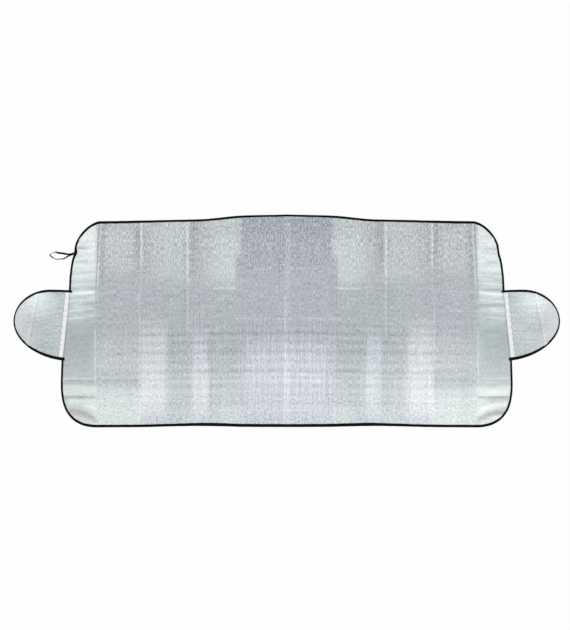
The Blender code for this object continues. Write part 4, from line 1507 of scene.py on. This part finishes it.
@dataclass
class SideFlap(EdgeTape):
    """One side flap: its sheet, and the tape round its free edge with a pressed tail past the root."""

    plan: FlapPlan | None = None
    side: Side = Side.RIGHT
    step: float = 0.003
    columns: int = 64
    rows: int = 84
    legs: tuple = (
        (0.0, 0.0102), (0.10, 0.0102), (0.22, 0.0084), (0.36, 0.0064), (0.46, 0.0050),
        (0.56, 0.0048), (0.68, 0.0070), (0.80, 0.0082), (0.92, 0.0080), (1.0, 0.0072),
    )
    tail_press: float = 0.010
    sheet_length: float = 0.23
    sheet_width: float = 0.18
    edge_points: int = 400
    tip_span: tuple[float, float] = (0.33, 0.68)
    crumple_height: float = 0.0004
    base_tone: float = 194.0

    def mirrored(self, points: Array) -> Array:
        """Points of the right flap on this flap's side."""
        turned = points.copy()
        turned[..., 0] *= self.side.value
        return turned

    def surface(self) -> Array:
        """Plan points of the sheet: a patch between its raw root, both long runs of its edge and its tip."""
        edge = evenly(self.plan.free_edge(), self.edge_points)
        edge = edge - normals_of(edge, False, self.normal_blur) * self.stock.sheet_rise
        upper_x, lower_x = self.plan.raw_edge()
        first = int(np.argmax(edge[:, 0] > lower_x))
        last = len(edge) - int(np.argmax(edge[::-1, 0] > upper_x))
        edge = edge[first:last]
        low_split, high_split = (round(share * len(edge)) for share in self.tip_span)
        lower = evenly(edge[:low_split + 1], self.columns)
        tip = evenly(edge[low_split:high_split + 1], self.rows)
        upper = evenly(edge[high_split:][::-1], self.columns)
        root = evenly(np.stack([edge[0], edge[-1]]), self.rows)
        return patch_between(lower, tip, upper, root)

    def tone(self, plan: Array) -> Array:
        """Screen tone with light painted in: a painted highlight at the top by the fold, painted sheen at the
        tip and low by the tip, darker low down, and painted shade beside the joining tape at the root.
        """
        x, y = plan[..., 0] - self.plan.panel.half_width, plan[..., 1]
        top = 38 * bell(x, 0.085, 0.100) * bell(y, 0.074, 0.090)
        tip = 14 * past(x, 0.10, 0.04) * bell(y, -0.01, 0.09)
        heel = 8 * bell(x, 0.11, 0.05) * bell(y, -0.062, 0.05)
        low = -4 * past(y, -0.03, -0.07) * past(x, 0.09, -0.05)
        # Painted shade along the outboard side of the joining tape.
        shaded = -18 * bell(x + 0.012, -0.10 * (y + 0.02), 0.014)
        return self.base_tone + top + tip + heel + low + shaded

    def build_sheet(self, foil: FoilFinish, material: bpy.types.Material) -> bpy.types.Object:
        """Make the flap's sheet.

        Args:
            foil: the finish, for its tones.
            material: the finish's material.

        Returns:
            The object.
        """
        plan = self.surface()
        u = np.linspace(0, 1, self.columns)[None]
        v = np.linspace(0, 1, self.rows)[:, None]
        margin = np.minimum(np.minimum(v, 1 - v) * self.sheet_length, (1 - u) * self.sheet_width)
        inside = smooth_step(margin / self.plan.fold_reach)
        away = np.abs(self.plan.fold_away(plan))
        ridge = self.plan.fold_ridge * np.clip(1 - away / self.plan.fold_reach, 0, 1) * inside
        x, y = plan[..., 0], plan[..., 1]
        crumple = self.crumple_height * (0.5 + 0.5 * np.sin(58 * x + 41 * y)) * inside
        root = past(x - self.plan.root_line(y), 0.016, 0.02)
        bottom = self.plan.lift(plan) + self.stock.sheet_rise * (1 - inside * root) + (ridge + crumple) * root
        outboard = past(x - self.plan.panel.half_width, 0.09, 0.05)
        looks = {
            "sheen": foil.level_of(self.tone(plan)), "tint": 0.75 - 0.65 * outboard,
            "grain": 0.52 - 0.16 * outboard, "streak": 0.46 - 0.24 * outboard, "warm": 0.16 * outboard,
            "rib": 0.04 + 0 * outboard,
        }
        label = self.side.label
        top = bottom + self.stock.flap
        made = add_sheet(f"{label}_flap_foil", self.mirrored(plan), bottom, top, material, looks)
        return settle(made, f"{label}_flap")

    def build_tape(self, tape: bpy.types.Material, thread: bpy.types.Material, stitch: Stitch) -> list:
        """Make the flap's tape and its stitching.

        Args:
            tape: the tape's material.
            thread: the thread's material.
            stitch: the stitches' sizes.

        Returns:
            The tape and the stitching.
        """
        edge = self.plan.free_edge()
        path = evenly(edge, round(run_along(edge)[-1] / self.step))
        normals = normals_of(path, False, self.normal_blur)
        at = run_along(path)
        leg = smooth_through(self.legs, at / at[-1])
        open_share = smooth_step(np.minimum(at, at[-1] - at) / self.tail_press)
        slot = self.stock.clearance + (self.slot - self.stock.clearance) * open_share
        base = self.plan.lift(path)
        sections = self.mirrored(self.sections(path, normals, base, leg, slot))
        made = add_carried(f"{self.side.label}_flap_edge_tape", sections, False, tape)
        settle(made, f"{self.side.label}_flap_binding")
        whole = open_share > 0.99
        rows = self.stitch_rows(path[whole], normals[whole], base[whole], leg[whole], stitch)
        rows = [(self.mirrored(points), quads) for points, quads in rows]
        return [made, add_stitching(f"{self.side.label}_flap_edge_stitching", rows, thread)]

    def flat_size(self) -> tuple[float, float, float]:
        """Width, length and area of the cut flap."""
        plan = self.surface()
        loop = np.concatenate([plan[0], plan[1:, -1], plan[-1, -2::-1], plan[-2:0:-1, 0]])
        width, length = loop.max(axis=0) - loop.min(axis=0)
        return float(width), float(length), area_inside(loop)


@dataclass
class JoiningTape:
    """The white tape sewn over one flap's raw edge, drawn in by its stitches at every pucker."""

    plan: FlapPlan
    stock: Stock
    side: Side
    width: float = 0.0140
    height: float = 0.0017
    edge: float = 0.0005
    pucker_pitch: float = 0.019
    pucker_flat: float = 0.45
    pucker_narrow: float = 0.12
    pucker_drifts: tuple = ((0.16, 0.083, 0.0), (0.10, 0.047, 1.0))
    profile: tuple = ((0.0, 0.0), (0.12, 0.72), (0.28, 1.0), (0.65, 0.85), (0.88, 0.5), (1.0, 0.0))
    edge_wave: tuple[float, float] = (0.0003, 0.031)
    root_legs: tuple[float, float] = (0.0105, 0.0077)
    across_points: int = 13
    step: float = 0.0012
    stitch_rows: tuple[float, ...] = (0.16, 0.84)

    def ends(self) -> tuple[float, float]:
        """Heights between which the tape fits, clear of the flap's own tape."""
        edge = self.plan.free_edge()
        normals = normals_of(edge, False)
        lower, upper = (edge - normals * leg for leg in self.root_legs)
        lower = lower[: len(lower) // 3]
        upper = upper[: 2 * len(upper) // 3 : -1]
        _, across = self.plan.root_direction()
        reach = self.width * across
        found = []
        for path, y, pick in ((lower, self.plan.low_y, max), (upper, self.plan.top_y, min)):
            x = self.plan.root_line(y)
            inboard, outboard = np.interp([x, x + reach[0]], path[:, 0], path[:, 1])
            found.append(float(pick(inboard, outboard - reach[1])))
        return found[0], found[1]

    def build(self, finish: bpy.types.Material, thread: bpy.types.Material, stitch: Stitch) -> list:
        """Make the tape and its two rows of stitches.

        Across, its top rises from a thin edge to a crest and falls over a shoulder to the other edge. Along,
        a sixth power of a cosine draws it in and down at each pucker.

        Args:
            finish: the tape's material.
            thread: the thread's material.
            stitch: the stitches' sizes.

        Returns:
            The tape and the stitching.
        """
        down, across = self.plan.root_direction()
        lower_end, upper_end = self.ends()
        start = np.array([self.plan.root_line(upper_end), upper_end])
        run = (upper_end - lower_end) / -down[1]
        along = np.linspace(0, run, round(run / self.step))
        puckers = round(run / self.pucker_pitch)
        drift = sum(far * np.sin(math.tau * along / pitch + turn) for far, pitch, turn in self.pucker_drifts)
        pinch = np.cos(math.pi * (along / run * puckers + drift)) ** 6
        ripple, pitch = self.edge_wave
        width = self.width * (1 - self.pucker_narrow * pinch) + ripple * np.sin(math.tau * along / pitch)
        share = np.linspace(0, 1, self.across_points)
        section = np.clip(smooth_through(self.profile, share), 0, 1)
        bed = self.stock.flap_root_lift + self.stock.sheet_rise + self.stock.flap + self.stock.clearance
        rise = self.edge + self.height * section[None] * (1 - self.pucker_flat * pinch)[:, None]
        path = start + along[:, None] * down
        plan = path[:, None] + (width[:, None] * share[None])[..., None] * across
        top = np.concatenate([plan, (bed + rise)[..., None]], axis=2)
        under = np.concatenate([plan, np.full((*rise.shape, 1), bed)], axis=2)[:, ::-1]
        sections = np.concatenate([top, under], axis=1)
        # Painted shade for the tape's colour: in each pucker, and along both edges where the top falls away.
        fold = np.repeat(pinch[:, None], 2 * self.across_points, axis=1) * 0.8
        rim = np.concatenate([1 - section, (1 - section)[::-1]])[None] * 0.35
        sections[..., 0] *= self.side.value
        label = self.side.label
        made = add_carried(
            f"{label}_joining_tape", sections, False, finish, {"pucker": np.clip(fold + rim, 0, 1)}
        )
        settle(made, f"{label}_flap_seam_tape")
        rows = []
        for place in self.stitch_rows:
            level = float(np.interp(place, share, section))
            line = path + (width * place)[:, None] * across
            lifted = bed + self.edge + self.height * level * (1 - self.pucker_flat * pinch)
            line = np.column_stack([line, lifted])
            line[:, 0] *= self.side.value
            rows.append(stitch.row(line, 1.0))
        return [made, add_stitching(f"{label}_joining_stitching", rows, thread)]


# The elastic loop


@dataclass
class ElasticLoop:
    """The flat braided elastic on the left side, twisted once on its way from the binding and back to it."""

    plan: PanelPlan
    stock: Stock
    width: float = 0.0066
    thickness: float = 0.0013
    sewn_at: float = 0.2225
    step: float = 0.0012
    route: tuple = (
        (-0.0008, 0.0035), (0.0066, 0.0007), (0.0125, -0.0009), (0.0190, -0.0012), (0.0239, -0.0005),
        (0.0372, 0.0022), (0.0505, 0.0036), (0.0570, 0.0056), (0.0614, 0.0064), (0.0687, 0.0036),
        (0.0758, -0.0002), (0.0790, -0.0029), (0.0755, -0.0070), (0.0671, -0.0130), (0.0611, -0.0167),
        (0.0554, -0.0175), (0.0438, -0.0167), (0.0330, -0.0160), (0.0256, -0.0120), (0.0189, -0.0080),
        (0.0125, -0.0052), (0.0066, -0.0030), (0.0000, -0.0002),
    )
    twist: tuple = (
        (0.0, 50.0), (0.06, 47.0), (0.12, 14.0), (0.17, 4.0), (0.30, 4.0), (0.36, 60.0), (0.43, 82.0),
        (0.49, 108.0), (0.55, 122.0), (0.60, 102.0), (0.66, 114.0), (0.74, 116.0), (0.80, 132.0),
        (0.86, 138.0), (0.93, 134.0), (1.0, 130.0),
    )
    corner_power: float = 0.5
    around: int = 12

    def centreline(self) -> tuple[Array, Array]:
        """Points along the middle of the band, and how far each section is turned from lying flat."""
        route = np.array(self.route)
        at = run_along(route)
        count = round(at[-1] / self.step)
        along = np.linspace(0, at[-1], count + 1)
        out = smooth_through(tuple(zip(at, route[:, 0])), along)
        above = smooth_through(tuple(zip(at, route[:, 1])), along)
        edge = self.plan.side_edge(np.array([self.sewn_at]))[0] + self.stock.clearance
        turn = np.radians(np.interp(along / at[-1], *np.array(self.twist).T))
        half_rise = (np.abs(np.sin(turn)) * self.width + np.abs(np.cos(turn)) * self.thickness) / 2
        return np.stack([-(edge + out), self.sewn_at + above, half_rise], axis=1), turn

    def build(self, finish: bpy.types.Material) -> bpy.types.Object:
        """Make the band: a rounded flat profile carried along the centreline and turned about it.

        Args:
            finish: its material.

        Returns:
            The object.
        """
        line, turn = self.centreline()
        along = unit(np.gradient(line, axis=0))
        level = unit(np.stack([-along[:, 1], along[:, 0], 0 * turn], axis=1))
        up = np.cross(along, level)
        up = up * np.sign(up[:, 2:3])
        wide = np.cos(turn)[:, None] * level + np.sin(turn)[:, None] * up
        thin = -np.sin(turn)[:, None] * level + np.cos(turn)[:, None] * up
        angle = np.linspace(0, math.tau, self.around, endpoint=False) + math.pi / self.around
        a = np.sign(np.cos(angle)) * np.abs(np.cos(angle)) ** self.corner_power * self.width / 2
        b = np.sign(np.sin(angle)) * np.abs(np.sin(angle)) ** self.corner_power * self.thickness / 2
        sections = line[:, None] + wide[:, None] * a[None, :, None] + thin[:, None] * b[None, :, None]
        made = settle(add_carried("elastic_band", sections, False, finish), "elastic_loop")
        return made


# The studio


@dataclass
class Studio:
    """The camera straight above, the pale floor and the soft lights."""

    centre: tuple = (-0.0058, 0.0199)
    frame_height: float = 2.0916
    lens: float = 85.0
    sensor: float = 36.0
    ambient: float = 0.62
    key_power: float = 46.0
    fill_power: float = 34.0
    lamp_size: float = 2.6
    key_place: tuple = (-1.6, 2.6, 3.2)
    fill_place: tuple = (2.2, -1.8, 3.4)
    floor_half: float = 8.0
    floor_height: float = -0.0002
    shadow_share: float = 0.05

    def add_camera(self) -> None:
        """The camera over the middle of the photograph's frame, looking down with +Y up."""
        data = bpy.data.cameras.new("camera")
        data.lens = self.lens
        data.sensor_width = self.sensor
        camera = put_in_scene("camera", data)
        camera.location = (*self.centre, self.frame_height * self.lens / self.sensor)
        bpy.context.scene.camera = camera

    def add_lamp(self, name: str, place: tuple, power: float) -> None:
        """A square soft lamp that faces the middle of the cover.

        Args:
            name: its name.
            place: where it is.
            power: in watts.
        """
        data = bpy.data.lights.new(name, "AREA")
        data.size = self.lamp_size
        data.energy = power
        lamp = put_in_scene(name, data)
        lamp.location = place
        x, y, z = place
        lamp.rotation_euler = (math.atan2(math.hypot(x, y), z), 0.0, math.atan2(x, -y))

    def add_floor(self) -> None:
        """A pale floor that shows white to the camera and keeps a soft share of the shadow."""
        graph = Graph("pale_floor")
        ray = graph.add("ShaderNodeLightPath", {}, {}, "Is Camera Ray")
        paper = graph.add("ShaderNodeBsdfDiffuse", {}, {"Color": (0.92, 0.92, 0.92, 1.0)})
        white = graph.add("ShaderNodeEmission", {}, {"Color": (1.0, 1.0, 1.0, 1.0), "Strength": 1.0})
        surface = graph.add("ShaderNodeMixShader", {}, {0: ray * (1 - self.shadow_share), 1: paper, 2: white})
        graph.feed(graph.output.inputs["Surface"], surface)
        mesh = bpy.data.meshes.new("floor")
        half, low = self.floor_half, self.floor_height
        corners = [(-half, -half, low), (half, -half, low), (half, half, low), (-half, half, low)]
        mesh.from_pydata(corners, [], [(0, 1, 2, 3)])
        mesh.materials.append(graph.material)
        put_in_scene("floor", mesh)

    def add_sky(self) -> None:
        """An even pale light, which shows as plain white to the camera and in gloss."""
        world = bpy.data.worlds.new("studio")
        world.use_nodes = True
        nodes, links = world.node_tree.nodes, world.node_tree.links
        ray = nodes.new("ShaderNodeLightPath")
        seen = nodes.new("ShaderNodeMath")
        seen.operation = "MAXIMUM"
        links.new(ray.outputs["Is Camera Ray"], seen.inputs[0])
        links.new(ray.outputs["Is Glossy Ray"], seen.inputs[1])
        level = nodes.new("ShaderNodeMapRange")
        links.new(seen.outputs[0], level.inputs["Value"])
        level.inputs["To Min"].default_value = self.ambient
        level.inputs["To Max"].default_value = 1.0
        links.new(level.outputs[0], nodes["Background"].inputs["Strength"])
        nodes["Background"].inputs["Color"].default_value = (1.0, 1.0, 1.0, 1.0)
        bpy.context.scene.world = world

    def build(self) -> None:
        """Set up the floor, the sky and both lamps, and the plain view transform."""
        self.add_floor()
        self.add_sky()
        self.add_lamp("key_lamp", self.key_place, self.key_power)
        self.add_lamp("fill_lamp", self.fill_place, self.fill_power)
        bpy.context.scene.view_settings.view_transform = "Standard"


@dataclass
class FrostCover:
    """The whole cover, put together in the order in which it is sewn."""

    stock: Stock = field(default_factory=Stock)
    stitch: Stitch = field(default_factory=Stitch)

    def build(self) -> None:
        low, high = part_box("panel_binding")
        plan = PanelPlan(half_width=high.x, half_height=(high.y - low.y) / 2)
        ElasticLoop(plan, self.stock).build(ElasticFinish().dress())
        tape = TapeFinish().dress()
        white = JoiningFinish().dress()
        black_thread = ThreadFinish("black_thread", (12, 12, 18), (52, 52, 60)).dress()
        white_thread = ThreadFinish("white_thread", (200, 200, 212), (244, 244, 250)).dress()
        foil = FoilFinish(marks=PANEL_PAINTED_LINES)
        panel = MainPanel(plan, self.stock)
        sheet = panel.build(foil)
        slot = self.stock.panel + 2 * self.stock.clearance
        bound = PanelBinding(self.stock, slot, plan=plan).build(tape, black_thread, self.stitch)
        panel.flat_area()
        flap_plan = FlapPlan(plan, self.stock)
        flap_film = FoilFinish(name="flap_film", marks=FLAP_PAINTED_LINES, foot_height=0.5, emboss_height=0.0003)
        flap_foil = flap_film.dress()
        slot = self.stock.flap + 2 * self.stock.clearance
        for side in Side:
            flap = SideFlap(self.stock, slot, plan=flap_plan, side=side)
            laid = flap.build_sheet(foil, flap_foil)
            pieces = flap.build_tape(tape, black_thread, self.stitch)
            joining = JoiningTape(flap_plan, self.stock, side)
            pieces += joining.build(white, white_thread, self.stitch)
            width, length, area = flap.flat_size()
            log.info("%s flap: %.3f by %.3f m, %.4f m2", side.label, width, length, area)
        log.info("panel: %.4f m2", panel.flat_area())


def main() -> None:
    """Set the camera, and make the cover and its studio."""
    logging.basicConfig(level=logging.INFO, format="%(message)s")
    studio = Studio()
    studio.add_camera()
    FrostCover().build()
    studio.build()
    bpy.context.view_layer.update()


if __name__ == "__main__":
    main()
